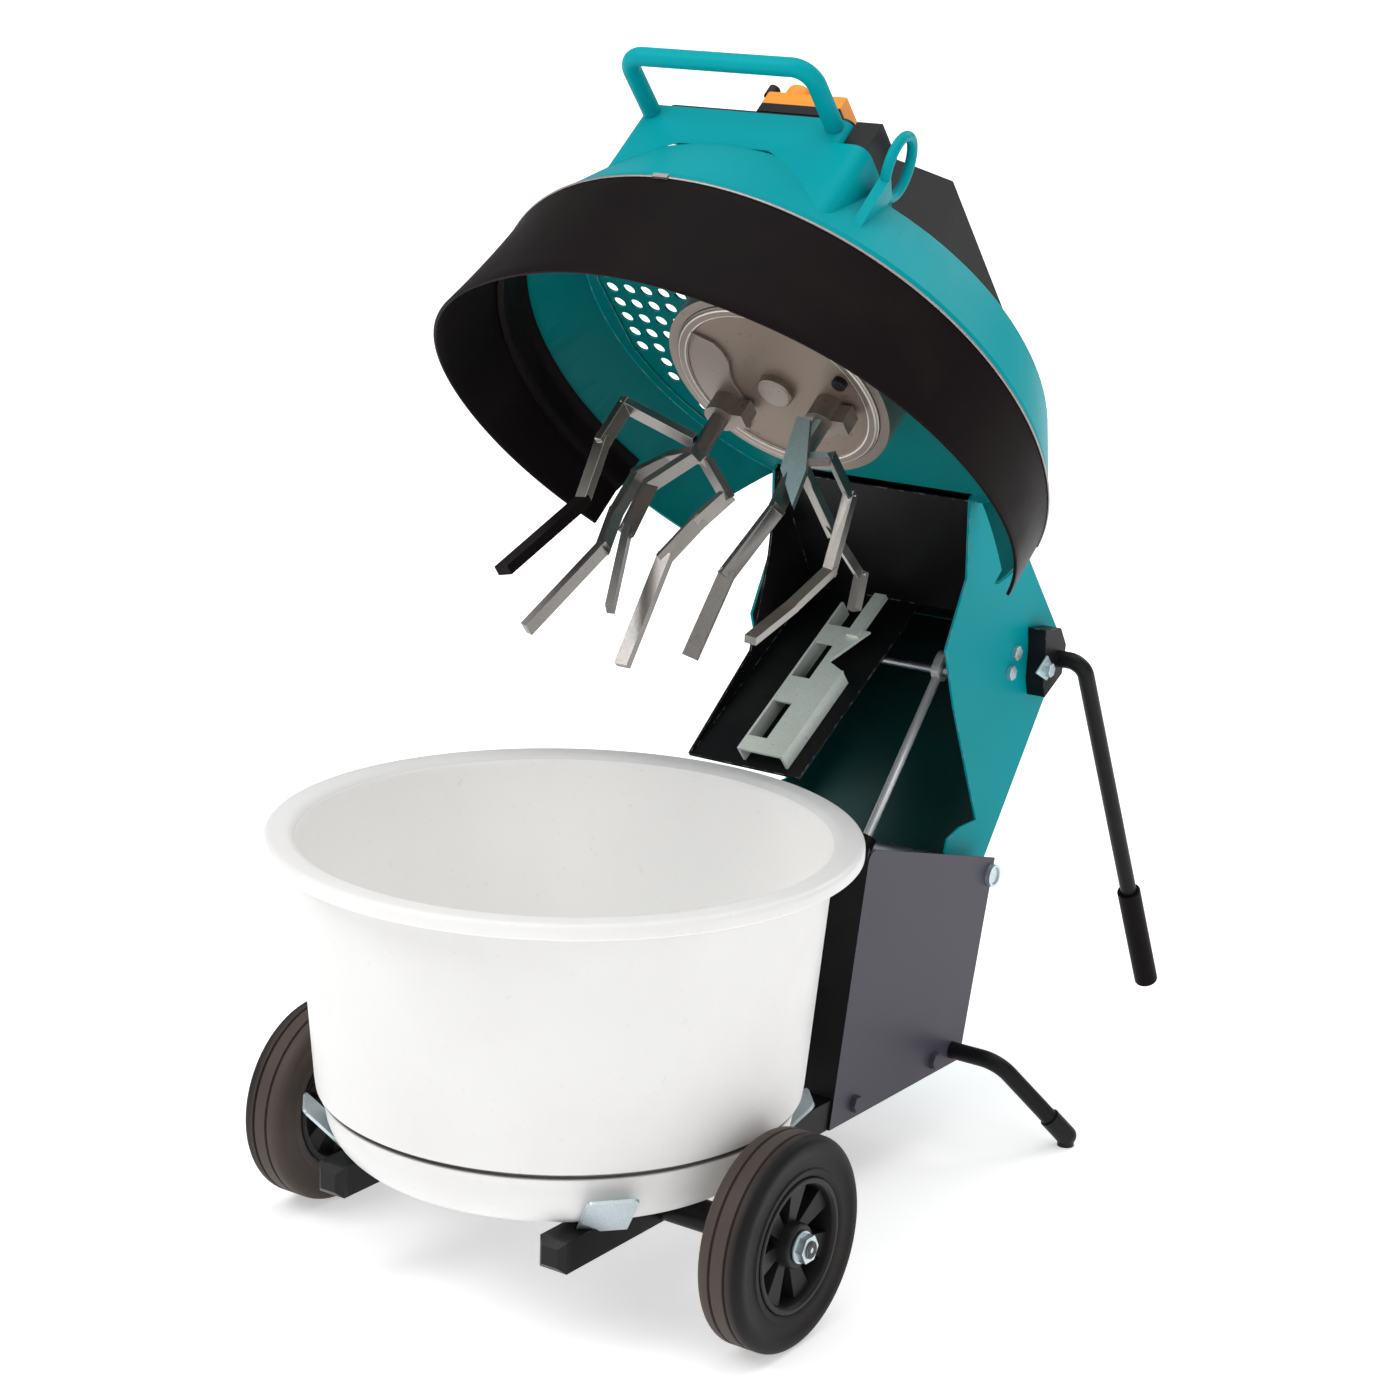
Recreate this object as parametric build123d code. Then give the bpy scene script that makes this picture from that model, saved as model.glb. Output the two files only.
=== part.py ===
from build123d import *
from math import atan2, cos, degrees, hypot, pi, radians, sin
import os

# Wheeled tub mixer. X is across the machine, -Y is the tub side, +Z is up and the floor is z = 0.
# Everything is laid out about the middle of the tub. The head is drawn closed over the tub, then
# swung back about its pivot pin to the open rest pose. All sizes are in millimetres.

# --- chassis ---
wheel_diameter = 200.0
wheel_width = 46.0
wheel_side_gap = 0.3
rim_diameter = 126.0
rim_spokes = 7
axle_diameter = 16.0
axle_y = -24.0
running_gap = 0.05
weld_gap = 0.1
seat_gap = 0.3
rail_size = 30.0
rail_wall = 3.0
rail_half_track = 144.0
rail_front_y = -171.0
end_cap_length = 10.0
track_half_width = 244.0
sheet = 2.5
plate = 3.0
bolt_diameter = 10.0

# --- tub ---
tub_rim_radius = 276.0
tub_height = 310.0
tub_wall = 4.0
tub_foot_radius = 220.0
tub_corner_radius = 48.0
tub_groove_rise = 59.0
tub_groove_height = 3.0
tub_groove_depth = 3.0
tub_foot_flare = 5.0
tub_lip_overhang = 27.0
tub_lip_height = 14.0
tub_rim_round = 8.0
tab_width = 47.0
tab_length = 68.0
tab_low_end = 24.0
tab_azimuth = 41.0
tub_side_gap = 1.0

# --- column and pivot ---
pivot_y = 543.0
pivot_z = 276.5
pivot_pin_diameter = 18.0
column_front_y = 247.0
column_rear_y = 499.0
column_front_rise = 86.0
column_front_lean = 53.0
column_flange = 42.0
rear_foot_diameter = 18.0
rear_foot_y = 482.0
rear_foot_reach = 252.0
rear_foot_end_y = 548.0
rear_foot_splay = 50.0
foot_cap_radius = 11.0

# --- head, drawn closed ---
open_angle = 50.0
head_y = 5.0
skirt_gap = 15.0
skirt_wall = 4.0
skirt_drop = 97.0
skirt_slope = 0.13
skirt_half_open = 57.0
hood_sheet = 3.0
collar_height = 20.0
collar_z = 436.0
dome_height = 76.0
dome_inset = 36.0
dome_edge_radius = 12.0
hood_rear_y = 225.0
feed_front_y = -105.0
feed_rear_y = 165.0
feed_reach = 240.0
feed_gap = 8.0
feed_lap = 4.0
feed_hole_pitch = 21.3
feed_hole_radius = 7.0
arm_half_width = 120.0
arm_start_y = 212.0
drum_radius = arm_half_width
drum_height = 60.0
disc_radius = 109.6
disc_thickness = 7.5
shaft_diameter = 30.0
bearing_width = 11.0
bearing_wall = 11.0

# --- drive ---
gear_module = 2.0
gear_width = 14.0
wheel_teeth = 84
pinion_teeth = 14
motor_radius = 62.0
motor_height = 94.0
motor_wall = 4.0
motor_shaft_diameter = 16.0

# --- hand pieces ---
handle_tube = 18.0
handle_half_width = 103.0
handle_reach = 70.0
handle_drop = 10.0
handle_bend = 20.0
lever_tube = 18.0
lever_length = 455.0
lever_droop = 13.5
lever_grip_length = 132.0
lever_grip_diameter = 26.0
lever_side_gap = 41.0
clamp_width = 22.0
clamp_outline = [(-51.0, -3.0), (-26.0, 21.0), (-2.0, 18.0), (18.0, -6.0), (10.0, -46.0), (-8.0, -38.0),
                 (-30.0, -17.0)]
cover_front_y = -166.0
cover_front_rise = 81.0
cover_ridge_front_y = -78.0
cover_ridge_rear_y = 190.0
cover_rear_length = 72.0
cover_rise = 145.0
housing_front_y = -245.0
housing_height = 47.0
housing_side_step = 2.0
shoulder_width = 30.0
shoulder_drop = 30.0
lid_thickness = 8.0
flap_left_x = 5.0
flap_width = 87.0
flap_front_y = -240.0
flap_rear_y = -186.0
flap_height = 18.0
button_x = 62.0
button_y = -212.0
inlet_y = 152.0
inlet_rise = 40.0
inlet_radius = 5.0
strut_x = 40.0
strut_tube = 22.0
strut_tube_length = 192.0
strut_rod = 10.0
bar_width = 15.0
bar_thickness = 8.0
tool_stem_radius = 9.0
left_socket = (-66.0, 34.0)
right_socket = (57.0, 21.0)
grease_cap_place = (82.0, -18.0)
scraper_rise = 384.0
scraper_tip = (-155.0, -11.0, 166.0)

# --- derived places ---
axle_z = wheel_diameter / 2
rail_bottom = axle_z - rail_size / 2
rail_top = axle_z + rail_size / 2
rail_inner = rail_half_track - rail_size
wheel_inner = track_half_width
wheel_outer = track_half_width + wheel_width
tub_top = rail_top + tub_height
skirt_radius = tub_rim_radius + skirt_gap
collar_radius = skirt_radius - 0.3
dome_radius = collar_radius - dome_inset
deck_z = collar_z + dome_height
deck_top = deck_z + hood_sheet
drum_bottom = deck_z - drum_height
head_plate_top = deck_top + 6.0
gear_distance = gear_module * (wheel_teeth + pinion_teeth) / 2
motor_y = head_y + gear_distance
gear_z = head_plate_top + 3.0
gearbox_top = gear_z + gear_width + 8.0
motor_z = gearbox_top
cover_top = deck_top + cover_rise
housing_top = deck_top + housing_height
arm_inner = arm_half_width - plate
housing_x = arm_half_width - housing_side_step
housing_rear_y = cover_front_y - plate
shoulder_x = housing_x + shoulder_width
shoulder_top = housing_top - shoulder_drop
lid_top = housing_top + lid_thickness
flap_z = lid_top + 11.0
column_inner = rail_half_track
column_outer = column_inner + sheet
column_back_top = (pivot_y + 8.0, pivot_z + 17.0)
column_front_top = (column_front_y + column_front_lean, pivot_z + column_front_rise)
lever_x = arm_half_width + lever_side_gap + lever_tube / 2
lever_y = 470.0
lever_z = 512.0
panel_corner = (369.0, 478.0)
panel_foot = (335.0, 216.0)
panel_edge_x = 20.0
notch_rail_x = (-50.0, 2.0)
notch_rail_z = (224.0, 412.0, 446.0)
notch_heights = (359.0, 270.0)
strut_foot = (340.0, 169.0)
strut_head = (433.0, 444.0)

pivot = Axis((0, pivot_y, pivot_z), (1, 0, 0))


def swing_open(shape):
    """Swing a piece of the closed head back to the open rest pose."""
    return shape.rotate(pivot, -open_angle)


def block(x0, x1, y0, y1, z0, z1):
    centre = Pos((x0 + x1) / 2, (y0 + y1) / 2, (z0 + z1) / 2)
    return centre * Box(x1 - x0, y1 - y0, z1 - z0)


def pin(start, end, radius):
    """A round bar from one point to another."""
    run = Vector(*end) - Vector(*start)
    place = Plane(origin=Vector(*start), z_dir=run)
    return place * Cylinder(radius, run.length, align=(Align.CENTER, Align.CENTER, Align.MIN))


def turned(points, x=0.0, y=0.0):
    """A ring-shaped solid turned from (radius, z) points about an upright axis."""
    return Pos(x, y, 0) * revolve(Plane.XZ * make_face(Polyline(*points, close=True)), Axis.Z)


def tube(outer, inner, z0, z1, x=0.0, y=0.0):
    return turned([(inner, z0), (outer, z0), (outer, z1), (inner, z1)], x, y)


def rod_x(x0, x1, y, z, radius):
    return pin((x0, y, z), (x1, y, z), radius)


def tube_x(x0, x1, y, z, outer, inner):
    return rod_x(x0, x1, y, z, outer) - rod_x(x0, x1, y, z, inner)


def side_plate(points, x0, x1):
    """A plate cut to (y, z) points, between two X places."""
    return extrude(Plane.YZ.offset(x0) * make_face(Polyline(*points, close=True)), amount=x1 - x0)


def offset_line(points, thickness):
    """The (y, z) line shifted to its left by a thickness, with mitred corners."""
    normals = []
    for a, b in zip(points, points[1:]):
        length = hypot(b[0] - a[0], b[1] - a[1])
        normals.append((-(b[1] - a[1]) / length, (b[0] - a[0]) / length))
    moved = []
    for i, point in enumerate(points):
        first = normals[max(i - 1, 0)]
        second = normals[min(i, len(normals) - 1)]
        scale = thickness / (1 + first[0] * second[0] + first[1] * second[1])
        moved.append((point[0] + (first[0] + second[0]) * scale,
                      point[1] + (first[1] + second[1]) * scale))
    return moved


def folded_sheet(points, thickness, x0, x1):
    """Sheet metal folded along (y, z) points, thickened to the left of the line."""
    return side_plate(points + offset_line(points, thickness)[::-1], x0, x1)


def round_tube_path(points, bend, radius):
    """A round bar bent along points, with the same radius at every bend."""
    path = FilletPolyline(*points, radius=bend)
    return sweep(Plane(origin=path @ 0, z_dir=path % 0) * Circle(radius), path=path)


def flat_bar(points, width, thickness):
    """A flat steel bar through points, its width lying level and its bends closed by overlap."""
    bar = None
    for a, b in zip(points, points[1:]):
        start, end = Vector(*a), Vector(*b)
        run = end - start
        level = Vector(0, 0, 1).cross(run)
        if level.length < run.length * 0.1:
            level = Vector(0, 1, 0)
        place = Plane(origin=start, x_dir=level, z_dir=run)
        low = (Align.CENTER, Align.CENTER, Align.MIN)
        piece = place * (Pos(0, 0, -thickness / 2) * Box(width, thickness, run.length + thickness, align=low))
        bar = piece if bar is None else bar + piece
    return bar


def mirrored_pair(shape):
    return Compound(children=[shape, mirror(shape, Plane.YZ)])


def group(shapes):
    return Compound(children=list(shapes))


# --- chassis pieces ---

def chassis_rails():
    rear = column_rear_y - 4.0
    rail = block(rail_inner, rail_half_track, rail_front_y, rear, rail_bottom, rail_top)
    hollow = block(rail_inner + rail_wall, rail_half_track - rail_wall, rail_front_y, rear,
                   rail_bottom + rail_wall, rail_top - rail_wall)
    axle_hole = rod_x(rail_inner, rail_half_track, axle_y, axle_z, axle_diameter / 2)
    foot_hole = rod_x(rail_inner, rail_half_track, rear_foot_y, axle_z, rear_foot_diameter / 2 + weld_gap)
    return mirrored_pair(rail - hollow - axle_hole - foot_hole)


def rail_end_plugs():
    x = rail_half_track - rail_size / 2
    head = Pos(x, rail_front_y - end_cap_length / 2, axle_z) * Box(rail_size, end_cap_length, rail_size)
    front = head.faces().sort_by(Axis.Y)[0]
    head = chamfer(front.edges(), end_cap_length * 0.6)
    room = rail_size - 2 * rail_wall - 0.4
    plug = Pos(x, rail_front_y + 7.5, axle_z) * Box(room, 15.0, room)
    return mirrored_pair(head + plug)


def axle_cross_tube():
    radius = rail_size / 2
    bore = axle_diameter / 2
    outer_end = wheel_inner - wheel_side_gap
    middle = tube_x(-rail_inner, rail_inner, axle_y, axle_z, radius, bore)
    right = tube_x(rail_half_track, outer_end, axle_y, axle_z, radius, bore)
    return group([middle, right, mirror(right, Plane.YZ)])


def wheel_axle():
    end = wheel_outer + 12.0
    return rod_x(-end, end, axle_y, axle_z, axle_diameter / 2)


def wheel_nuts():
    start = wheel_outer + wheel_side_gap
    washer = tube_x(start, start + 2.0, axle_y, axle_z, 15.0, axle_diameter / 2)
    outline = Plane.YZ.offset(start + 2.0) * Pos(axle_y, axle_z) * RegularPolygon(13.5, 6)
    nut = extrude(outline, amount=8.0) - rod_x(start, start + 11.0, axle_y, axle_z, axle_diameter / 2)
    return mirrored_pair(washer + nut)


def tub_locating_tabs():
    """Four leaning plates welded on the rails, just clear of the rounded foot of the tub."""
    near = tub_corner_radius + tub_side_gap
    upright = block(near, near + plate, -tab_width / 2, tab_width / 2, -tab_low_end, tab_length - tab_low_end)
    corners = upright.edges().filter_by(Axis.X).group_by(Axis.Z)[-1]
    upright = fillet(corners, 6.0)
    corner_centre = (tub_foot_radius - tub_corner_radius, 0, rail_top + tub_corner_radius)
    leaning = Plane(origin=corner_centre, x_dir=(1, 0, -1), z_dir=(1, 0, 1)) * upright
    rail = block(rail_inner, rail_half_track, rail_front_y, column_front_y, rail_bottom, rail_top)
    tabs = [Rot(0, 0, turn) * leaning - mirrored_pair(rail)
            for turn in (tab_azimuth, 180 - tab_azimuth, 180 + tab_azimuth, -tab_azimuth)]
    return group(tabs)


def rear_foot_bar():
    floor_point = (rear_foot_reach, rear_foot_end_y, foot_cap_radius)
    shoulder = (rear_foot_reach - rear_foot_splay, rear_foot_y, axle_z)
    points = [(-floor_point[0], floor_point[1], floor_point[2]), (-shoulder[0], shoulder[1], shoulder[2]),
              shoulder, floor_point]
    return round_tube_path(points, 30.0, rear_foot_diameter / 2)


def rear_foot_caps():
    end = Vector(rear_foot_reach, rear_foot_end_y, foot_cap_radius)
    shoulder = Vector(rear_foot_reach - rear_foot_splay, rear_foot_y, axle_z)
    back = (shoulder - end).normalized()
    sleeve = pin(end + back * 30.0, end, foot_cap_radius)
    sleeve += Pos(*end) * Sphere(foot_cap_radius)
    sole = Pos(end.X, end.Y, foot_cap_radius / 2) * Cylinder(foot_cap_radius * 0.8, foot_cap_radius)
    bar = pin(end + back * 60.0, end, rear_foot_diameter / 2)
    return mirrored_pair(sleeve + sole - bar)


def end_caps():
    """Plastic plugs of the rails and rubber feet of the rear bar."""
    return group([rail_end_plugs(), rear_foot_caps()])


def column_outline():
    return [(column_front_y, rail_bottom), (column_rear_y, rail_bottom), column_back_top, column_front_top]


def column_side():
    panel = side_plate(column_outline(), column_inner, column_outer)
    corner = panel.edges().filter_by(Axis.X).sort_by(Axis.Z)[-1]
    panel = fillet(corner, 12.0)
    front = [(column_front_y, rail_top), column_front_top]
    lean = column_front_lean / (column_front_top[1] - rail_bottom)
    front[0] = (column_front_y + lean * (rail_size + 1.0), rail_top + 1.0)
    flange = folded_sheet(front[::-1], sheet, column_inner - column_flange, column_inner + sheet * 0.2)
    cut_height = column_flange * 0.9
    cut = extrude(Plane.XZ * make_face(Polyline(
        (column_inner + 1.0, column_front_top[1] - 1.0), (column_inner - column_flange - 1.0, column_front_top[1] + 20.0),
        (column_inner - column_flange - 1.0, column_front_top[1] - cut_height), close=True)),
        amount=-column_front_top[0] - 40.0)
    flange = flange - cut
    pin_hole = rod_x(column_inner - 1, column_outer + 1, pivot_y, pivot_z, pivot_pin_diameter / 2)
    foot_hole = rod_x(column_inner - 1, column_outer + 1, rear_foot_y, axle_z, rear_foot_diameter / 2 + weld_gap)
    return panel + flange - pin_hole - foot_hole


def column_back():
    lean = (column_back_top[0] - column_rear_y) / (column_back_top[1] - rail_bottom)
    low = (column_rear_y, rail_bottom)
    high_z = pivot_z - 42.0
    high = (column_rear_y + lean * (high_z - rail_bottom), high_z)
    return folded_sheet([low, high], sheet, -column_inner, column_inner)


def column_floor():
    lean = column_front_lean / (column_front_top[1] - rail_bottom)
    front = column_front_y + lean * rail_size + sheet * 1.5
    lean_back = (column_back_top[0] - column_rear_y) / (column_back_top[1] - rail_bottom)
    rear = column_rear_y + lean_back * rail_size - sheet * 0.8
    return block(-column_inner, column_inner, front, rear, rail_top, rail_top + sheet)


def column_base():
    """Plates across the rear and over the rails that join the column sides."""
    return column_back() + column_floor()


def pivot_rod():
    return rod_x(-column_outer - 4.0, column_outer + 4.0, pivot_y, pivot_z, pivot_pin_diameter / 2)


def pivot_pin():
    """Pivot rod with an end ring outside and a spacer sleeve inside each column side."""
    ring = tube_x(column_outer, column_outer + 6.0, pivot_y, pivot_z, 12.0, pivot_pin_diameter / 2)
    sleeve = tube_x(arm_half_width + 0.3, column_inner, pivot_y, pivot_z, 14.0, pivot_pin_diameter / 2)
    return group([pivot_rod(), mirrored_pair(ring), mirrored_pair(sleeve)])


def column_bolt_heads():
    bolts = []
    for y in (column_front_y + 45.0, column_rear_y - 55.0):
        outline = Plane.YZ.offset(column_outer) * Pos(y, axle_z) * RegularPolygon(bolt_diameter * 0.9, 6)
        bolts.append(extrude(outline, amount=bolt_diameter * 0.6))
    return group(bolts + [mirror(bolt, Plane.YZ) for bolt in bolts])


def chassis_fasteners():
    return group([wheel_nuts(), column_bolt_heads()])


def strut_foot_bracket():
    y, z = strut_foot
    base = rail_top + sheet
    ears = []
    for side in (-1, 1):
        near = strut_x + side * 7.0
        far = near + side * plate
        x0, x1 = sorted((near, far))
        ear = block(x0, x1, y - 16.0, y + 16.0, base, z)
        ears.append(ear + rod_x(x0, x1, y, z, 16.0))
    foot = block(strut_x - 20.0, strut_x + 20.0, y - 22.0, y + 22.0, base, base + plate)
    bolt = rod_x(strut_x - 13.0, strut_x + 13.0, y, z, 4.0)
    return ears[0] + ears[1] + foot + bolt


# --- wheels ---

def wheel_rim():
    """Plastic wheel centre: a barrel, a hub and spokes with wedge openings between them."""
    radius = rim_diameter / 2
    hub = 21.0
    web = 9.0
    middle = wheel_width / 2
    barrel = tube(radius, radius - 6.0, 0, wheel_width)
    boss = tube(hub, axle_diameter / 2 + 4.0, 0, wheel_width)
    disc = tube(radius - 3.0, axle_diameter / 2 + 6.0, middle - web / 2, middle + web / 2)
    rim = barrel + boss + disc
    pitch = 360.0 / rim_spokes
    inner, outer = hub + 7.0, radius - 10.0
    for i in range(rim_spokes):
        angle = i * pitch + 83.0 - 90.0
        half = pitch / 2 - 8.0
        wedge = make_face(Polyline(
            (inner * cos(radians(half * 0.55)), -inner * sin(radians(half * 0.55))),
            (outer * cos(radians(half)), -outer * sin(radians(half))),
            (outer * 1.03, 0),
            (outer * cos(radians(half)), outer * sin(radians(half))),
            (inner * cos(radians(half * 0.55)), inner * sin(radians(half * 0.55))), close=True))
        rim -= Rot(0, 0, angle) * extrude(wedge, amount=wheel_width)
        ridge = Rot(0, 0, angle + pitch / 2) * block(hub - 2.0, radius - 4.0, -2.5, 2.5, 6.0, wheel_width - 6.0)
        rim += ridge
    return rim


def wheel_centre():
    """Wheel rim with its plain bush."""
    bush = tube(axle_diameter / 2 + 4.0, axle_diameter / 2 + running_gap, 0, wheel_width)
    return group([wheel_rim(), bush])


def wheel_tyre():
    inner, outer = rim_diameter / 2, wheel_diameter / 2
    width = wheel_width
    round_off = 9.0
    profile = make_face(Polyline((inner, 0), (outer, 0), (outer, width), (inner, width), close=True))
    shoulders = profile.vertices().sort_by(Axis.X)[-2:]
    profile = fillet(shoulders, round_off)
    tyre = revolve(Plane.XZ * profile, Axis.Z)
    for z in (width * 0.33, width * 0.67):
        tyre -= tube(outer + 1.0, outer - 2.5, z - 1.5, z + 1.5)
    return tyre


def place_wheel(shape):
    """Turn a piece drawn about Z onto the right end of the axle."""
    return Pos(wheel_inner, axle_y, axle_z) * Rot(0, 90, 0) * shape


# --- tub ---

def rounded_foot(points, radius):
    """A turned solid of (radius, z) points whose second point, the foot corner, is rounded."""
    profile = make_face(Polyline(*points, close=True))
    corner = profile.vertices().sort_by_distance((points[1][0], points[1][1], 0))[0]
    return revolve(Plane.XZ * fillet(corner, radius), Axis.Z)


def tub_outside():
    corner_top = rail_top + tub_corner_radius + 1.0
    groove = rail_top + tub_groove_rise
    lip_z = tub_top - tub_lip_height
    waist = tub_foot_radius + tub_foot_flare
    wall = tub_rim_radius - tub_lip_overhang
    points = [(0, rail_top), (tub_foot_radius, rail_top), (tub_foot_radius, corner_top), (waist, groove),
              (waist + tub_groove_depth, groove + tub_groove_height), (wall, lip_z), (tub_rim_radius, lip_z),
              (tub_rim_radius, tub_top), (0, tub_top)]
    body = rounded_foot(points, tub_corner_radius)
    rim = body.edges().filter_by(GeomType.CIRCLE).group_by(Axis.Z)[-1]
    body = fillet(rim, tub_wall)
    return body - tube(tub_rim_radius, waist - tub_groove_depth + 1.0, groove, groove + tub_groove_height)


def tub_inside():
    low = rail_top + tub_wall
    foot = tub_foot_radius - tub_wall
    corner_top = rail_top + tub_corner_radius + 1.0
    waist = tub_foot_radius + tub_foot_flare - tub_wall
    groove_top = rail_top + tub_groove_rise + tub_groove_height
    mouth = tub_rim_radius - tub_lip_overhang - tub_wall
    lead = tub_rim_round
    points = [(0, low), (foot, low), (foot, corner_top), (waist - tub_groove_depth, groove_top + tub_wall),
              (waist + tub_groove_depth, groove_top + tub_wall * 2.5), (mouth, tub_top - lead),
              (mouth + lead * 0.3, tub_top - lead * 0.3), (mouth + lead, tub_top),
              (mouth + lead, tub_top + 1.0), (0, tub_top + 1.0)]
    return rounded_foot(points, tub_corner_radius - tub_wall)


def tub():
    """Round tub with a rounded foot, a groove above it and a turned-down rim."""
    wall = tub_rim_radius - tub_lip_overhang
    rim_hollow = tube(tub_rim_radius - tub_wall, wall, tub_top - tub_lip_height - 1.0, tub_top - tub_wall)
    return tub_outside() - tub_inside() - rim_hollow


# --- head: hood and skirt ---

def hood_outline(inset):
    """Radius and height points of the hood, moved inwards by an inset."""
    slope = atan2(dome_height, dome_inset)
    shift = inset / sin(slope)
    lift = inset * (1 - cos(slope)) / sin(slope)
    return [(collar_radius - inset, collar_z - collar_height), (collar_radius - inset, collar_z - lift),
            (dome_radius - shift + lift, deck_top - inset), (0, deck_top - inset)]


def hood_solid(inset):
    points = hood_outline(inset)
    return turned(points + [(0, collar_z - collar_height)], 0, head_y)


def arm_gap():
    reach = collar_radius + 40.0
    return block(-arm_half_width, arm_half_width, arm_start_y, reach, 0, cover_top)


def feed_area(inset):
    """Flat part of the deck that the feed opening takes, between the motor cover and the dome edge."""
    right = -(arm_half_width + feed_gap) - inset
    left = -feed_reach + inset
    front, rear = feed_front_y + inset, feed_rear_y - inset
    area = Pos((left + right) / 2, (front + rear) / 2) * Rectangle(right - left, rear - front)
    return area & Pos(0, head_y) * Circle(dome_radius - dome_edge_radius + 2.0 - inset)


def hood_back_cut():
    """Room behind the flat rear edge of the hood."""
    reach = collar_radius + 40.0
    return block(-reach, reach, hood_rear_y, reach, 0, cover_top)


def hood():
    outer = hood_solid(0)
    rim = outer.edges().filter_by(GeomType.CIRCLE).group_by(Axis.Z)[-1]
    shell = fillet(rim, dome_edge_radius) - hood_solid(hood_sheet)
    opening = extrude(Pos(0, 0, deck_z - 1) * feed_area(feed_lap), amount=9.0)
    shaft_hole = Pos(0, head_y, deck_z) * Cylinder(shaft_diameter / 2 + bearing_wall + 8.0, 20.0)
    return shell - arm_gap() - hood_back_cut() - opening - shaft_hole


def feed_grille():
    """Perforated sheet over the feed opening, its holes kept inside the opening."""
    sheet_metal = extrude(Pos(0, 0, deck_top) * feed_area(0), amount=plate)
    hole_limit = dome_radius - dome_edge_radius + 2.0 - feed_lap - feed_hole_radius
    edge = feed_lap + feed_hole_radius
    first_x = -feed_reach + edge + 3.0
    last_x = -(arm_half_width + feed_gap) - edge
    first_y, last_y = feed_front_y + edge, feed_rear_y - edge
    columns = int((last_x - first_x) / feed_hole_pitch) + 1
    rows = int((last_y - first_y) / feed_hole_pitch) + 1
    holes = []
    for row in range(rows):
        y = first_y + row * feed_hole_pitch
        for column in range(columns):
            x = first_x + column * feed_hole_pitch
            if hypot(x, y - head_y) < hole_limit:
                holes.append(Pos(x, y, deck_top + plate / 2) * Cylinder(feed_hole_radius, plate * 2))
    return sheet_metal - group(holes)


def skirt_sector(inner, outer, z0, z1):
    """A ring round the hood that is open behind, between the two ends of the skirt."""
    ring = tube(outer, inner, z0, z1, 0, head_y)
    reach = outer * 2
    half = radians(skirt_half_open)
    wedge = make_face(Polyline((0, head_y), (reach * sin(half), head_y + reach * cos(half)),
                               (-reach * sin(half), head_y + reach * cos(half)), close=True))
    return ring - extrude(Pos(0, 0, z0 - 1) * wedge, amount=z1 - z0 + 2)


def rubber_skirt():
    top = collar_z + 2.0
    low = top - skirt_drop - skirt_slope * skirt_radius * 1.2
    ring = skirt_sector(skirt_radius, skirt_radius + skirt_wall, low, top)
    tilt = degrees(atan2(skirt_slope, 1))
    reach = skirt_radius * 2.4
    slab = Pos(0, head_y, top - skirt_drop) * Rot(tilt, 0, 0) * Box(
        reach, reach, reach / 3, align=(Align.CENTER, Align.CENTER, Align.MAX))
    return ring - slab


def skirt_strap():
    outer = skirt_radius + skirt_wall
    return skirt_sector(outer, outer + 1.2, collar_z - 4.0, collar_z - 1.0)


def skirt_band():
    """Narrow steel strap round the top of the skirt, with the clamp that tightens it."""
    outer = skirt_radius + skirt_wall + 1.2
    clamp = block(-9.0, 9.0, -outer - 4.0, -outer + 0.6, collar_z - 4.0, collar_z - 1.0)
    return skirt_strap() + Pos(0, head_y, 0) * clamp


def front_handle():
    """Bent tube standing out from the face of the front housing."""
    z = housing_top - handle_drop
    x = handle_half_width
    far = housing_front_y - handle_reach
    points = [(-x, housing_front_y, z), (-x, far, z), (x, far, z), (x, housing_front_y, z)]
    return round_tube_path(points, handle_bend, handle_tube / 2)


def housing_block(x0, x1, inset, bottom, top, corner):
    """A block as deep as the front housing, its two front corners rounded."""
    solid = block(x0 + inset, x1 - inset, housing_front_y + inset, housing_rear_y - inset, bottom, top)
    return fillet(solid.edges().filter_by(Axis.Z).group_by(Axis.Y)[0], corner)


def front_housing():
    """Sheet box at the front of the hood with a lower shoulder beside it."""
    box = housing_block(-housing_x, housing_x, 0, collar_z, housing_top, 14.0)
    shoulder = housing_block(housing_x - 40.0, shoulder_x, 0, collar_z, shoulder_top, 14.0)
    room = housing_block(-housing_x, housing_x, plate, collar_z - 1, housing_top + 1, 11.0)
    low_room = housing_block(housing_x - 40.0, shoulder_x, plate, collar_z - 1, shoulder_top - plate, 11.0)
    return box + shoulder - room - low_room - hood_solid(0)


def lid_plate():
    side = housing_x - 6.0
    lid = block(-side + 14.0, side, housing_front_y + 6.0, housing_rear_y, housing_top, lid_top)
    return fillet(lid.edges().filter_by(Axis.Z).group_by(Axis.Y)[0], 10.0)


def switch_housing():
    """Plastic box that stands on the shoulder of the front housing."""
    y0 = housing_front_y + 5.0
    box = block(housing_x, shoulder_x - 2.0, y0, y0 + 44.0, shoulder_top, lid_top)
    return chamfer(box.edges().group_by(Axis.Z)[-1], 4.0)


def switch_plate():
    top = flap_z - seat_gap
    base = block(flap_left_x, flap_left_x + flap_width, flap_front_y, flap_rear_y, lid_top, top)
    base = fillet(base.edges().filter_by(Axis.Z), 2.0)
    return base - Pos(button_x, button_y, top) * Cylinder(8.4, 12.0)


def start_button():
    return Pos(button_x, button_y, flap_z) * Cylinder(8.0, 7.0, align=(Align.CENTER, Align.CENTER, Align.MIN))


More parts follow.
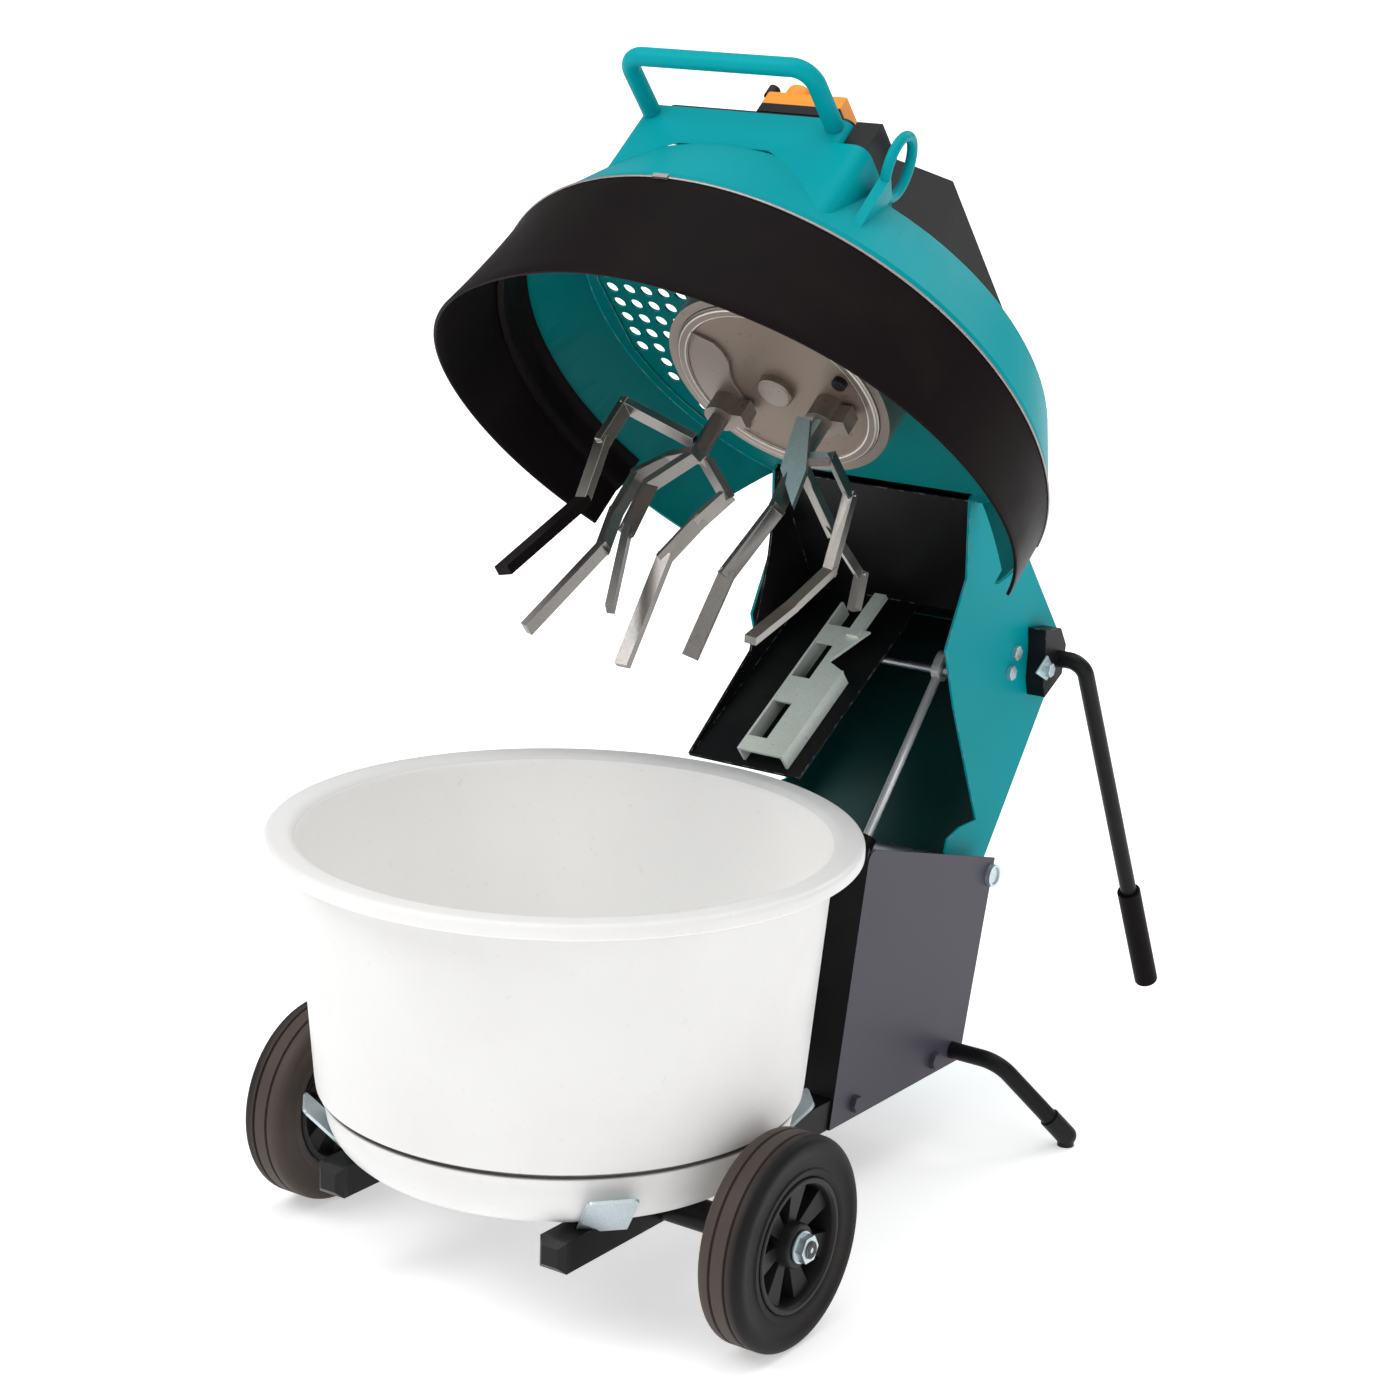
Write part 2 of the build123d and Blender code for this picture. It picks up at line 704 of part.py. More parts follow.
def stop_flap():
    """Hinged cover over the switches, hooked on a pin along its rear edge."""
    wall = 3.0
    right = flap_left_x + flap_width
    top = flap_z + flap_height
    shell = block(flap_left_x, right, flap_front_y, flap_rear_y, flap_z, top)
    shell = fillet(shell.edges().group_by(Axis.Z)[-1], 5.0)
    hollow = block(flap_left_x + wall, right - wall, flap_front_y + wall, flap_rear_y - wall, flap_z - 1, top - wall)
    hump = Pos(flap_left_x + 22.0, flap_front_y + 17.0, top) * Cylinder(
        14.0, 15.0, align=(Align.CENTER, Align.CENTER, Align.MIN))
    hump = fillet(hump.edges().group_by(Axis.Z)[-1], 5.0)
    return shell - hollow + hump


def panel_knob():
    x, y = flap_left_x - 12.0, flap_front_y + 18.0
    low = (Align.CENTER, Align.CENTER, Align.MIN)
    stem = Pos(x, y, lid_top) * Cylinder(3.5, 36.0, align=low)
    cap = Pos(x, y, lid_top + 36.0) * Cylinder(6.0, 12.0, align=low)
    return stem + cap


def panel_lid():
    """Lid of the front housing with the raised switch base and a small lever."""
    return lid_plate() + switch_plate() + panel_knob()


def lashing_eye():
    """Round eye for a lifting hook, standing on the edge of the dome."""
    x, y = shoulder_x + 14.0, -208.0
    ring_radius, wire, turn = 29.0, 5.0, 17.0
    z = deck_top + ring_radius + 1.0
    ring = Pos(x, y, z) * Rot(0, 0, turn) * Rot(0, 90, 0) * Torus(ring_radius, wire)
    foot = Rot(0, 0, turn) * block(-wire, wire, -13.0, 13.0, collar_z, deck_top + wire)
    return ring + Pos(x, y, 0) * foot - hood_solid(0)


def motor_cover_outline():
    rear = arm_start_y + cover_rear_length
    return [(cover_front_y, deck_top), (cover_front_y, deck_top + cover_front_rise),
            (cover_ridge_front_y, cover_top), (cover_ridge_rear_y, cover_top),
            (rear - 9.0, deck_top + 48.0), (rear, deck_top + 21.0), (arm_start_y, deck_top + 9.0),
            (arm_start_y, deck_top)]


def motor_cover():
    outline = motor_cover_outline()
    outer = side_plate(outline, -arm_half_width, arm_half_width)
    shrink = offset_line(outline[:6], -sheet)
    inner = [(shrink[0][0], deck_top - 1)] + shrink[1:5] + [
        (shrink[5][0], deck_top + 14.0), (arm_start_y, deck_top - 1)]
    hollow = side_plate(inner, -arm_half_width + sheet, arm_half_width - sheet)
    return outer - hollow - inlet_bore()


def head_plate():
    """Base plate on the hood that carries the drive and ties it to the arm."""
    x = arm_inner
    plate_solid = block(-x, x, -150.0, arm_start_y + 80.0, deck_top, head_plate_top)
    shaft_hole = Pos(0, head_y, deck_top) * Cylinder(shaft_diameter / 2 + 6.0, 30.0)
    return plate_solid - shaft_hole


# --- head: arm ---

def arm_outline():
    return [(arm_start_y, deck_top + 7.0), (286.0, 533.0), (357.0, 553.0), (488.0, 551.0), (512.0, 499.0),
            (558.0, 311.0), (pivot_y + 22.0, pivot_z), (pivot_y + 14.0, pivot_z - 20.0),
            (pivot_y - 56.0, pivot_z - 19.0), (pivot_y - 64.0, pivot_z - 7.0), (pivot_y - 54.0, pivot_z + 16.0),
            (pivot_y - 33.0, pivot_z + 42.0), (370.0, 359.0), (306.0, 383.0),
            (276.0, 454.0), (arm_start_y, deck_z - 8.0)]


def arm_cheek():
    """Side plate of the arm, widened to a foot round the pivot pin."""
    cheek = side_plate(arm_outline(), arm_inner, arm_half_width)
    hole = rod_x(arm_inner - 1, arm_half_width + 1, pivot_y, pivot_z, pivot_pin_diameter / 2 + running_gap)
    return cheek - hole


def arm_spine():
    outline = arm_outline()[1:8]
    return folded_sheet(outline, -plate, -arm_inner, arm_inner)


def arm_front_panel():
    """Black guard inside the arm: a ceiling, a face towards the tub and a side gusset."""
    corner, foot = panel_corner, panel_foot
    start = (arm_start_y + 4.0, deck_z - 6.0)
    ceiling = folded_sheet([start, corner], plate, -arm_inner, arm_inner)
    face = folded_sheet([start, corner, foot], plate, -arm_inner, panel_edge_x)
    gusset = side_plate([start, (276.0, 440.0), (foot[0] - 2.0, 355.0),
                         (foot[0] - 2.0, foot[1]), foot, corner], -arm_inner, plate - arm_inner)
    return ceiling + face + gusset


def rail_profile(z, forward):
    """A (y, z) point on the face of the guard, moved towards the tub."""
    slant = (panel_corner[0] - panel_foot[0]) / (panel_corner[1] - panel_foot[1])
    return (panel_foot[0] + (z - panel_foot[1]) * slant - forward, z)


def guard_slab(x0, x1, low, high, near, far):
    """A slab standing on the face of the guard, between two heights and two distances from it."""
    return side_plate([rail_profile(low, near), rail_profile(high, near), rail_profile(high, far),
                       rail_profile(low, far)], x0, x1)


def notch_rail():
    """Galvanised latch rail on the guard: a notched web, one long side and a striker at its head."""
    left, right = notch_rail_x
    low, web_top, side_top = notch_rail_z
    depth = 20.0
    web = guard_slab(left, right, low, web_top, depth - plate, depth)
    taper = Pos(right, rail_profile(web_top, depth)[0], web_top) * Rot(0, 24.0, 0) * Box(
        24.0, 40.0, 110.0, align=(Align.MIN, Align.CENTER, Align.CENTER))
    side = guard_slab(left - plate, left, low, side_top, 0, depth)
    other = guard_slab(right - plate, right, low, web_top - 60.0, 0, depth)
    striker = guard_slab(right - 22.0, right - 8.0, web_top - 12.0, web_top + 52.0, depth - plate, depth + 4.0)
    rail = web - taper + side + other + striker
    for z in notch_heights:
        rail -= guard_slab(left, left + 22.0, z - 26.0, z + 26.0, depth - plate - 1.0, depth + 1.0)
    return rail


def strut_cross_rod():
    y, z = strut_head
    return rod_x(-arm_inner, arm_inner, y, z, strut_rod / 2)


def arm_bolts():
    bolts = []
    for y, z in ((421.0, 475.0), (430.0, 455.0)):
        outline = Plane.YZ.offset(arm_half_width) * Pos(y, z) * RegularPolygon(8.0, 6)
        bolts.append(extrude(outline, amount=5.0))
    return group(bolts + [mirror(bolt, Plane.YZ) for bolt in bolts])


# --- head: drive ---

def gear(teeth, bore, z, x, y, phase):
    """Spur gear with straight-sided teeth; its tooth gap is wider than its tooth for backlash."""
    pitch_radius = gear_module * teeth / 2
    tip = pitch_radius + gear_module * 0.85
    root = pitch_radius - gear_module * 1.15
    step = 2 * pi / teeth
    points = []
    for i in range(teeth):
        middle = radians(phase) + i * step
        for radius, share in ((root, -0.30), (tip, -0.12), (tip, 0.12), (root, 0.30)):
            angle = middle + share * step
            points.append((radius * cos(angle), radius * sin(angle)))
    blank = extrude(make_face(Polyline(*points, close=True)), amount=gear_width)
    return Pos(x, y, z) * (blank - Cylinder(bore, gear_width * 3))


def gear_drum():
    """Round bearing housing under the hood, open below for the carrier disc."""
    seat = shaft_diameter / 2 + bearing_wall
    points = [(seat, drum_bottom + 14.0), (seat + 8.0, drum_bottom + 14.0), (seat + 8.0, deck_z - 8.0),
              (drum_radius - 10.0, deck_z - 8.0), (drum_radius - 10.0, drum_bottom - 6.0),
              (drum_radius, drum_bottom - 6.0), (drum_radius, deck_z), (seat, deck_z)]
    return turned(points, 0, head_y)


def bearing(z):
    radius = shaft_diameter / 2
    return tube(radius + bearing_wall, radius + running_gap, z, z + bearing_width, 0, head_y)


def drive_bearings():
    """Two bearings of the carrier shaft and one of the motor shaft."""
    return group([bearing(drum_bottom + 16.0), bearing(deck_z - bearing_width - 2.0), motor_bearing()])


def carrier_shaft():
    top = gear_z + gear_width + 1.0
    return Pos(0, head_y, drum_bottom) * Cylinder(
        shaft_diameter / 2, top - drum_bottom, align=(Align.CENTER, Align.CENTER, Align.MIN))


def output_gear():
    return gear(wheel_teeth, shaft_diameter / 2, gear_z, 0, head_y, 90.0)


def motor_pinion():
    half_step = 180.0 / pinion_teeth
    return gear(pinion_teeth, motor_shaft_diameter / 2, gear_z, 0, motor_y, -90.0 + half_step)


def gearbox_cover():
    """Cast cover over the gear pair: two joined round pans."""
    big = gear_module * wheel_teeth / 2 + gear_module + 4.0
    small = gear_module * pinion_teeth / 2 + gear_module + 4.0
    height = gearbox_top - head_plate_top
    low = (Align.CENTER, Align.CENTER, Align.MIN)

    def pans(grow, z, rise):
        first = Pos(0, head_y, z) * Cylinder(big + grow, rise, align=low)
        second = Pos(0, motor_y, z) * Cylinder(small + 14.0 + grow, rise, align=low)
        return first + second

    cover = pans(5.0, head_plate_top, height) - pans(0, head_plate_top - 1, height - 3.0)
    shaft_hole = Pos(0, motor_y, gearbox_top) * Cylinder(motor_shaft_diameter / 2 + 1.0, 30.0)
    return cover - shaft_hole


def motor_case():
    z1 = motor_z + motor_height
    seat = motor_shaft_diameter / 2 + 8.0
    points = [(seat, motor_z), (motor_radius, motor_z), (motor_radius, z1), (seat - 6.0, z1), (seat - 6.0, z1 - 4.0),
              (motor_radius - motor_wall, z1 - 4.0), (motor_radius - motor_wall, motor_z + 10.0),
              (seat, motor_z + 10.0)]
    body = turned(points, 0, motor_y)
    fins = 24
    for i in range(fins):
        fin = block(motor_radius - 1.0, motor_radius + 5.0, -1.0, 1.0, motor_z + 10.0, z1 - 10.0)
        body += Pos(0, motor_y, 0) * Rot(0, 0, i * 360.0 / fins) * fin
    return body


def motor_stator():
    z0 = motor_z + 18.0
    return tube(motor_radius - motor_wall, motor_radius - 24.0, z0, z0 + 50.0, 0, motor_y)


def rotor_core():
    z0 = motor_z + 18.0
    low = (Align.CENTER, Align.CENTER, Align.MIN)
    shaft = Pos(0, motor_y, gear_z) * Cylinder(
        motor_shaft_diameter / 2, motor_z + motor_height - 8.0 - gear_z, align=low)
    core = Pos(0, motor_y, z0) * Cylinder(motor_radius - 25.0, 50.0, align=low)
    return shaft + core


def motor_bearing():
    radius = motor_shaft_diameter / 2
    return tube(radius + 8.0, radius + running_gap, motor_z + 1.0, motor_z + 10.0, 0, motor_y)


def motor_fan():
    z0 = motor_z + 72.0
    radius = motor_shaft_diameter / 2
    fan = tube(radius + 6.0, radius, z0, z0 + 12.0, 0, motor_y)
    for i in range(8):
        blade = block(radius + 4.0, motor_radius - motor_wall - 3.0, -1.0, 1.0, z0, z0 + 12.0)
        fan += Pos(0, motor_y, 0) * Rot(0, 0, i * 45.0) * blade
    return fan


def motor_housing():
    """Finned motor case with the stator ring pressed into it."""
    return group([motor_case(), motor_stator()])


def motor_rotor():
    """Motor shaft and core with the fan and the pinion on it."""
    return group([rotor_core(), motor_fan(), motor_pinion()])


def inlet_bore():
    place = Pos(arm_half_width, inlet_y, deck_top + inlet_rise) * Rot(0, 90, 0)
    return place * Cylinder(inlet_radius, 60.0)


def cable_inlet():
    """Cable gland on the side of the motor cover, with a clear hole through."""
    low = (Align.CENTER, Align.CENTER, Align.MIN)
    place = Pos(arm_half_width, inlet_y, deck_top + inlet_rise) * Rot(0, 90, 0)
    nut = place * extrude(RegularPolygon(15.0, 6), amount=6.0)
    barrel = place * Pos(0, 0, 6.0) * Cylinder(11.0, 14.0, align=low)
    return nut + barrel - inlet_bore()


# --- carrier and mixing tools ---

def carrier_disc():
    top = drum_bottom
    disc = Pos(0, head_y, top - disc_thickness) * Cylinder(
        disc_radius, disc_thickness, align=(Align.CENTER, Align.CENTER, Align.MIN))
    disc = chamfer(disc.edges().group_by(Axis.Z)[0], 2.0)
    return disc


def centre_cap():
    z = drum_bottom - disc_thickness
    cap = Pos(0, head_y, z) * Cylinder(19.0, 9.0, align=(Align.CENTER, Align.CENTER, Align.MAX))
    return fillet(cap.edges().group_by(Axis.Z)[0], 3.0)


def socket(x, y, radius, drop):
    z = drum_bottom - disc_thickness
    low = (Align.CENTER, Align.CENTER, Align.MAX)
    body = Pos(x, y, z) * Cylinder(radius, drop, align=low)
    lug = block(x + radius - 6.0, x + radius + 12.0, y - 9.0, y + 9.0, z - drop, z - 4.0)
    return body + lug


def tool_sockets():
    return group([socket(*left_socket, 17.0, 26.0), socket(*right_socket, 17.0, 26.0)])


def grease_cap():
    x, y = grease_cap_place
    cap = Pos(x, y, drum_bottom - disc_thickness) * Cylinder(7.5, 8.0, align=(Align.CENTER, Align.CENTER, Align.MAX))
    return fillet(cap.edges().group_by(Axis.Z)[0], 2.0)


def hub_cap():
    """Centre cap and small round cap of the carrier disc."""
    return group([centre_cap(), grease_cap()])


def left_tool():
    x, y = left_socket
    z = drum_bottom - disc_thickness - 26.0
    stem = pin((x, y, z), (x, y, 366.0), tool_stem_radius)
    hub = (x, y, 372.0)
    outer = flat_bar([hub, (-100.0, 44.0, 368.0), (-138.0, 58.0, 352.0), (-134.0, 56.0, 300.0),
                      (-122.0, 54.0, 255.0), (-148.0, 54.0, 148.0)], bar_width, bar_thickness)
    middle = flat_bar([hub, (-97.0, 34.0, 325.0), (-83.0, 26.0, 260.0), (-57.0, 34.0, 176.0)],
                      bar_width, bar_thickness)
    inner = flat_bar([hub, (-30.0, 12.0, 345.0), (-8.0, 36.0, 328.0), (-26.0, 42.0, 298.0),
                      (-50.0, 56.0, 258.0), (-50.0, 86.0, 150.0)], bar_width, bar_thickness)
    return stem + outer + middle + inner


def right_tool():
    x, y = right_socket
    z = drum_bottom - disc_thickness - 26.0
    stem = pin((x, y, z), (x, y, 366.0), tool_stem_radius)
    hub = (x, y, 374.0)
    corners = [(-20.0, 416.0), (-4.0, 414.0), (24.0, 352.0), (32.0, 308.0), (-4.0, 350.0)]
    outline = Polyline(*[(x + dx, height) for dx, height in corners], close=True)
    bracket = extrude(Plane.XZ.offset(7.0 - y) * make_face(outline), amount=6.0)
    inner = flat_bar([hub, (75.0, 8.0, 300.0), (60.0, 14.0, 222.0), (46.0, 48.0, 150.0)],
                     bar_width, bar_thickness)
    outer = flat_bar([hub, (92.0, 20.0, 380.0), (122.0, 34.0, 350.0), (125.0, 62.0, 280.0),
                      (126.0, 38.0, 215.0), (132.0, 4.0, 150.0)], bar_width * 0.8, bar_thickness)
    back = flat_bar([hub, (68.0, 46.0, 362.0), (92.0, 78.0, 338.0), (142.0, 86.0, 298.0),
                     (146.0, 96.0, 270.0)], bar_width * 0.8, bar_thickness)
    return stem + bracket + inner + outer + back


def scraper_points():
    """Centre line of the scraper arm, from the stem of the left tool to the head of the blade."""
    x, y = left_socket
    reach = tool_stem_radius + seat_gap + bar_thickness / 2
    return [(x - reach * 0.93, y - reach * 0.37, scraper_rise), (-150.0, 0.0, scraper_rise + 8.0),
            (-152.0, 3.0, 345.0), (-146.0, 18.0, 282.0)]


def scraper_arm():
    return flat_bar(scraper_points(), bar_width * 1.2, bar_thickness)


def scraper_rubber():
    x, y, z = scraper_points()[-1]
    blade = flat_bar([(x, y, z - 4.0), scraper_tip], bar_width * 1.3, bar_thickness * 1.25)
    return blade - scraper_arm()


# --- handle levers and gas strut ---

def lever_points():
    end_y = lever_y + lever_length * cos(radians(lever_droop))
    end_z = lever_z - lever_length * sin(radians(lever_droop))
    return (lever_x, end_y, end_z)


def handle_lever():
    """Bent handle tube: a stub through the clamp, then a long run to the grip."""
    end = lever_points()
    start = (arm_half_width + clamp_width, lever_y, lever_z)
    corner = (lever_x, lever_y, lever_z)
    return round_tube_path([start, corner, end], 17.0, lever_tube / 2)


def lever_grip():
    end = Vector(*lever_points())
    corner = Vector(lever_x, lever_y, lever_z)
    along = (end - corner).normalized()
    start = end - along * lever_grip_length
    tip = end + along * 4.0
    sleeve = pin(start, tip, lever_grip_diameter / 2)
    inside = pin(start - along, end, lever_tube / 2)
    return sleeve - inside


def lever_clamp():
    outline = [(lever_y + dy, lever_z + dz) for dy, dz in clamp_outline]
    return side_plate(outline, arm_half_width, arm_half_width + clamp_width - seat_gap)


def lever_clamps():
    """Thick bracket on each arm cheek that carries the stub of the lever."""
    return mirrored_pair(lever_clamp())


def strut_direction():
    """Unit direction and length of the strut with the head open."""
    y0, z0 = strut_foot
    angle = radians(-open_angle)
    dy, dz = strut_head[0] - pivot_y, strut_head[1] - pivot_z
    y1 = pivot_y + dy * cos(angle) - dz * sin(angle)
    z1 = pivot_z + dy * sin(angle) + dz * cos(angle)
    run = Vector(0, y1 - y0, z1 - z0)
    return run.normalized(), run.length


def strut_point(distance):
    along, _ = strut_direction()
    return (strut_x, strut_foot[0] + along.Y * distance, strut_foot[1] + along.Z * distance)


def strut_cylinder():
    eye = rod_x(strut_x - 6.5, strut_x + 6.5, *strut_foot, 10.0)
    neck = pin(strut_point(6.0), strut_point(24.0), 6.0)
    body = pin(strut_point(20.0), strut_point(strut_tube_length), strut_tube / 2)
    bore = pin(strut_point(52.0), strut_point(strut_tube_length + 1.0), strut_rod / 2 + running_gap)
    hole = rod_x(strut_x - 20.0, strut_x + 20.0, *strut_foot, 4.0 + running_gap)
    return eye + neck + body - bore - hole


def strut_piston_rod():
    """Chromed rod whose slotted eye leaves room for the cross rod through the whole swing."""
    along, length = strut_direction()
    rod = pin(strut_point(strut_tube_length - 24.0), strut_point(length - 8.0), strut_rod / 2)
    slot = 10.0
    half = strut_rod / 2 + 1.6
    low = Vector(*strut_point(length))
    high = Vector(*strut_point(length + slot))
    x0, x1 = strut_x - 5.0, strut_x + 5.0
    outer = rod_x(x0, x1, low.Y, low.Z, half + 5.0) + rod_x(x0, x1, high.Y, high.Z, half + 5.0)
    inner = rod_x(x0 - 1, x1 + 1, low.Y, low.Z, half) + rod_x(x0 - 1, x1 + 1, high.Y, high.Z, half)
    place = Plane(origin=strut_point(length), x_dir=(1, 0, 0), z_dir=along)
    up = (Align.CENTER, Align.CENTER, Align.MIN)
    outer += place * Box(x1 - x0, 2 * half + 10.0, slot, align=up)
    inner += place * Box(x1 - x0 + 2, 2 * half, slot, align=up)
    return rod + outer - inner


chassis_nodes = [
    chassis_rails, end_caps, axle_cross_tube, wheel_axle, chassis_fasteners, tub_locating_tabs, rear_foot_bar,
    column_base, pivot_pin, strut_foot_bracket, tub, strut_cylinder, strut_piston_rod,
]
head_nodes = [
    hood, feed_grille, rubber_skirt, skirt_band, front_handle, front_housing, panel_lid, switch_housing,
    start_button, stop_flap, lashing_eye, motor_cover, head_plate, arm_spine, arm_front_panel, notch_rail,
    strut_cross_rod, arm_bolts, gear_drum, drive_bearings, gearbox_cover, motor_housing, motor_rotor,
    cable_inlet, carrier_shaft, output_gear, carrier_disc, hub_cap, tool_sockets, left_tool, right_tool,
    scraper_arm, scraper_rubber, lever_clamps,
]
handed_head_nodes = [arm_cheek, handle_lever, lever_grip]


def handed(nodes, name, shape):
    """Keep a piece for the right side and its mirror image for the left."""
    nodes[name + "_right"] = shape
    nodes[name + "_left"] = mirror(shape, Plane.YZ)


def build_nodes():
    nodes = {make.__name__: make() for make in chassis_nodes}
    handed(nodes, "column_side", column_side())
    handed(nodes, "wheel_rim", place_wheel(wheel_centre()))
    handed(nodes, "wheel_tyre", place_wheel(wheel_tyre()))
    for make in head_nodes:
        nodes[make.__name__] = swing_open(make())
    for make in handed_head_nodes:
        handed(nodes, make.__name__, swing_open(make()))
    return nodes


def main():
    nodes = build_nodes()
    boxes = [shape.bounding_box() for shape in nodes.values()]
    front = min(box.min.Y for box in boxes)
    rear = max(box.max.Y for box in boxes)
    middle = (front + rear) / 2
    print("nodes", len(nodes), "front", front, "rear", rear, "origin behind the tub", middle)
    os.makedirs("parts", exist_ok=True)
    for name, shape in nodes.items():
        export_step(Pos(0, -middle, 0) * shape, "parts/" + name + ".step")


main()
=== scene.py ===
from math import cos, exp, pi, radians, sin

import bmesh
import bpy
from mathutils import Matrix, Vector


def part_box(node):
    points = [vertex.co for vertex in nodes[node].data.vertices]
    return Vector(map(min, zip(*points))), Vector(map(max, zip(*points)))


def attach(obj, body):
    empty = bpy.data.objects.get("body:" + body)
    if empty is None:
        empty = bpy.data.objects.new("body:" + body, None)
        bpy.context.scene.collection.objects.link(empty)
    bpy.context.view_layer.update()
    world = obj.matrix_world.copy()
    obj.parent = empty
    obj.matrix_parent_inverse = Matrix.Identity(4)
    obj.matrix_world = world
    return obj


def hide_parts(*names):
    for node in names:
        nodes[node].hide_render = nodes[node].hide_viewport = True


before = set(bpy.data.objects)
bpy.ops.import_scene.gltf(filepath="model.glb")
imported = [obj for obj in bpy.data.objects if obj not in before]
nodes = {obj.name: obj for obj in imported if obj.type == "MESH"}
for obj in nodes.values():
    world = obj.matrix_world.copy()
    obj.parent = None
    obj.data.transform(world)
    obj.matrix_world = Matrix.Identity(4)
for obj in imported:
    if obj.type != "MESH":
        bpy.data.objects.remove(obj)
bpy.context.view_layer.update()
mm = 0.001
tub_y = (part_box("tub")[0].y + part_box("tub")[1].y) / 2 / mm

# Chassis: two welded square tubes with the axle tube between them and a bent rear foot, powder
# coated black in a satin finish that site dust has dulled. The tub stands loose on the two tubes.


def surface_group(name, grain_scale, patch_scale, fleck_scale):
    """Fine grain, broad dust patches, small flecks and chips, as masks that several finishes share."""
    group = bpy.data.node_groups.new(name, "ShaderNodeTree")
    face = group.interface
    face.new_socket("Vector", in_out="INPUT", socket_type="NodeSocketVector")
    start, end = group.nodes.new("NodeGroupInput"), group.nodes.new("NodeGroupOutput")
    for label, scale, detail, low, high in (
            ("Dust", patch_scale, 6.0, 0.48, 0.78), ("Fleck", fleck_scale, 2.0, 0.68, 0.74),
            ("Tone", patch_scale * 0.35, 2.0, 0.3, 0.7), ("Grain", grain_scale, 3.0, 0.2, 0.8),
            ("Chip", fleck_scale * 0.6, 4.0, 0.52, 0.6)):
        face.new_socket(label, in_out="OUTPUT", socket_type="NodeSocketFloat")
        noise = group.nodes.new("ShaderNodeTexNoise")
        noise.inputs["Scale"].default_value = scale
        noise.inputs["Detail"].default_value = detail
        group.links.new(start.outputs["Vector"], noise.inputs["Vector"])
        limits = group.nodes.new("ShaderNodeMapRange")
        limits.inputs["From Min"].default_value = low
        limits.inputs["From Max"].default_value = high
        group.links.new(noise.outputs["Fac"], limits.inputs["Value"])
        group.links.new(limits.outputs["Result"], end.inputs[label])
    return group


coat_masks = surface_group("coat masks", 900.0, 9.0, 160.0)


def new_material(name, metallic, colour, rough, specular=0.5):
    """A material with its surface shader, the shared masks on it, and short ways to add and join nodes."""
    made = bpy.data.materials.new(name)
    made.use_nodes = True
    add, link = made.node_tree.nodes.new, made.node_tree.links.new
    shader = made.node_tree.nodes["Principled BSDF"]
    shader.inputs["Metallic"].default_value = metallic
    shader.inputs["Base Color"].default_value = (*colour, 1.0)
    shader.inputs["Roughness"].default_value = rough
    shader.inputs["Specular IOR Level"].default_value = specular
    place = add("ShaderNodeTexCoord")
    masks = add("ShaderNodeGroup")
    masks.node_tree = coat_masks
    link(place.outputs["Object"], masks.inputs["Vector"])
    return made, add, link, shader, place.outputs["Object"], masks.outputs


def mixed(add, link, factor, first, second, amount=1.0):
    """One colour laid over another where a mask says so."""
    share = add("ShaderNodeMath")
    share.operation = "MULTIPLY"
    share.inputs[1].default_value = amount
    link(factor, share.inputs[0])
    mix = add("ShaderNodeMix")
    mix.data_type = "RGBA"
    link(share.outputs[0], mix.inputs["Factor"])
    for socket, value in ((mix.inputs[6], first), (mix.inputs[7], second)):
        if isinstance(value, tuple):
            socket.default_value = (*value, 1.0)
        else:
            link(value, socket)
    return mix.outputs[2]


def spread(add, link, value, low, high, start=0.0, end=1.0):
    """A mask between two levels turned into a range of values."""
    limits = add("ShaderNodeMapRange")
    limits.inputs["From Min"].default_value = start
    limits.inputs["From Max"].default_value = end
    limits.inputs["To Min"].default_value = low
    limits.inputs["To Max"].default_value = high
    link(value, limits.inputs["Value"])
    return limits.outputs["Result"]


def raised(add, link, height, distance, shader):
    """A fine relief that only the light shows."""
    bump = add("ShaderNodeBump")
    bump.inputs["Distance"].default_value = distance
    bump.inputs["Strength"].default_value = 0.6
    link(height, bump.inputs["Height"])
    link(bump.outputs["Normal"], shader.inputs["Normal"])


def powder_coat(name, colour, dusty, dust, rough, peel=0.00006, specular=0.5, chips=0.0):
    """Baked paint: an orange-peel surface, small scuffs, mortar dust in patches and worn chips."""
    made, add, link, shader, _, masks = new_material(name, 0.0, colour, rough[0], specular)
    darker = tuple(c * 0.82 for c in colour)
    toned = mixed(add, link, masks["Tone"], darker, colour)
    scuffed = mixed(add, link, masks["Fleck"], toned, dusty, dust * 0.6)
    dusted = mixed(add, link, masks["Dust"], scuffed, dusty, dust)
    worn = mixed(add, link, masks["Chip"], dusted, (0.3, 0.3, 0.29), chips)
    link(worn, shader.inputs["Base Color"])
    link(spread(add, link, masks["Dust"], *rough), shader.inputs["Roughness"])
    raised(add, link, masks["Grain"], peel, shader)
    return made


def painted_finish(name, colour, dusty, dust, rough, specular):
    """The paint of a face and the same paint worn through along the edges."""
    worn = tuple(c * 1.15 + 0.004 for c in colour)
    return (powder_coat(name, colour, dusty, dust, rough, 0.00006, specular),
            powder_coat(name + " edge", worn, dusty, dust * 2, rough, 0.00003, specular, 0.45))


def finished(name, body, mesh, finish, replaced, edge=0.0, parts=2):
    """A mesh made into a piece that rides on its body and takes its finish."""
    mesh.polygons.foreach_set("use_smooth", [True] * len(mesh.polygons))
    mesh.set_sharp_from_angle(angle=radians(32))
    mesh.materials.clear()
    for material in finish:
        mesh.materials.append(material)
    piece = bpy.data.objects.new(name, mesh)
    bpy.context.scene.collection.objects.link(piece)
    if edge:
        rounding = piece.modifiers.new("rounded edges", "BEVEL")
        rounding.width = edge * mm
        rounding.segments = parts
        rounding.limit_method = "ANGLE"
        rounding.angle_limit = radians(32)
        rounding.harden_normals = True
        rounding.material = 1 if len(finish) > 1 else -1
    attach(piece, body)
    if replaced:
        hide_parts(*replaced)
    return piece


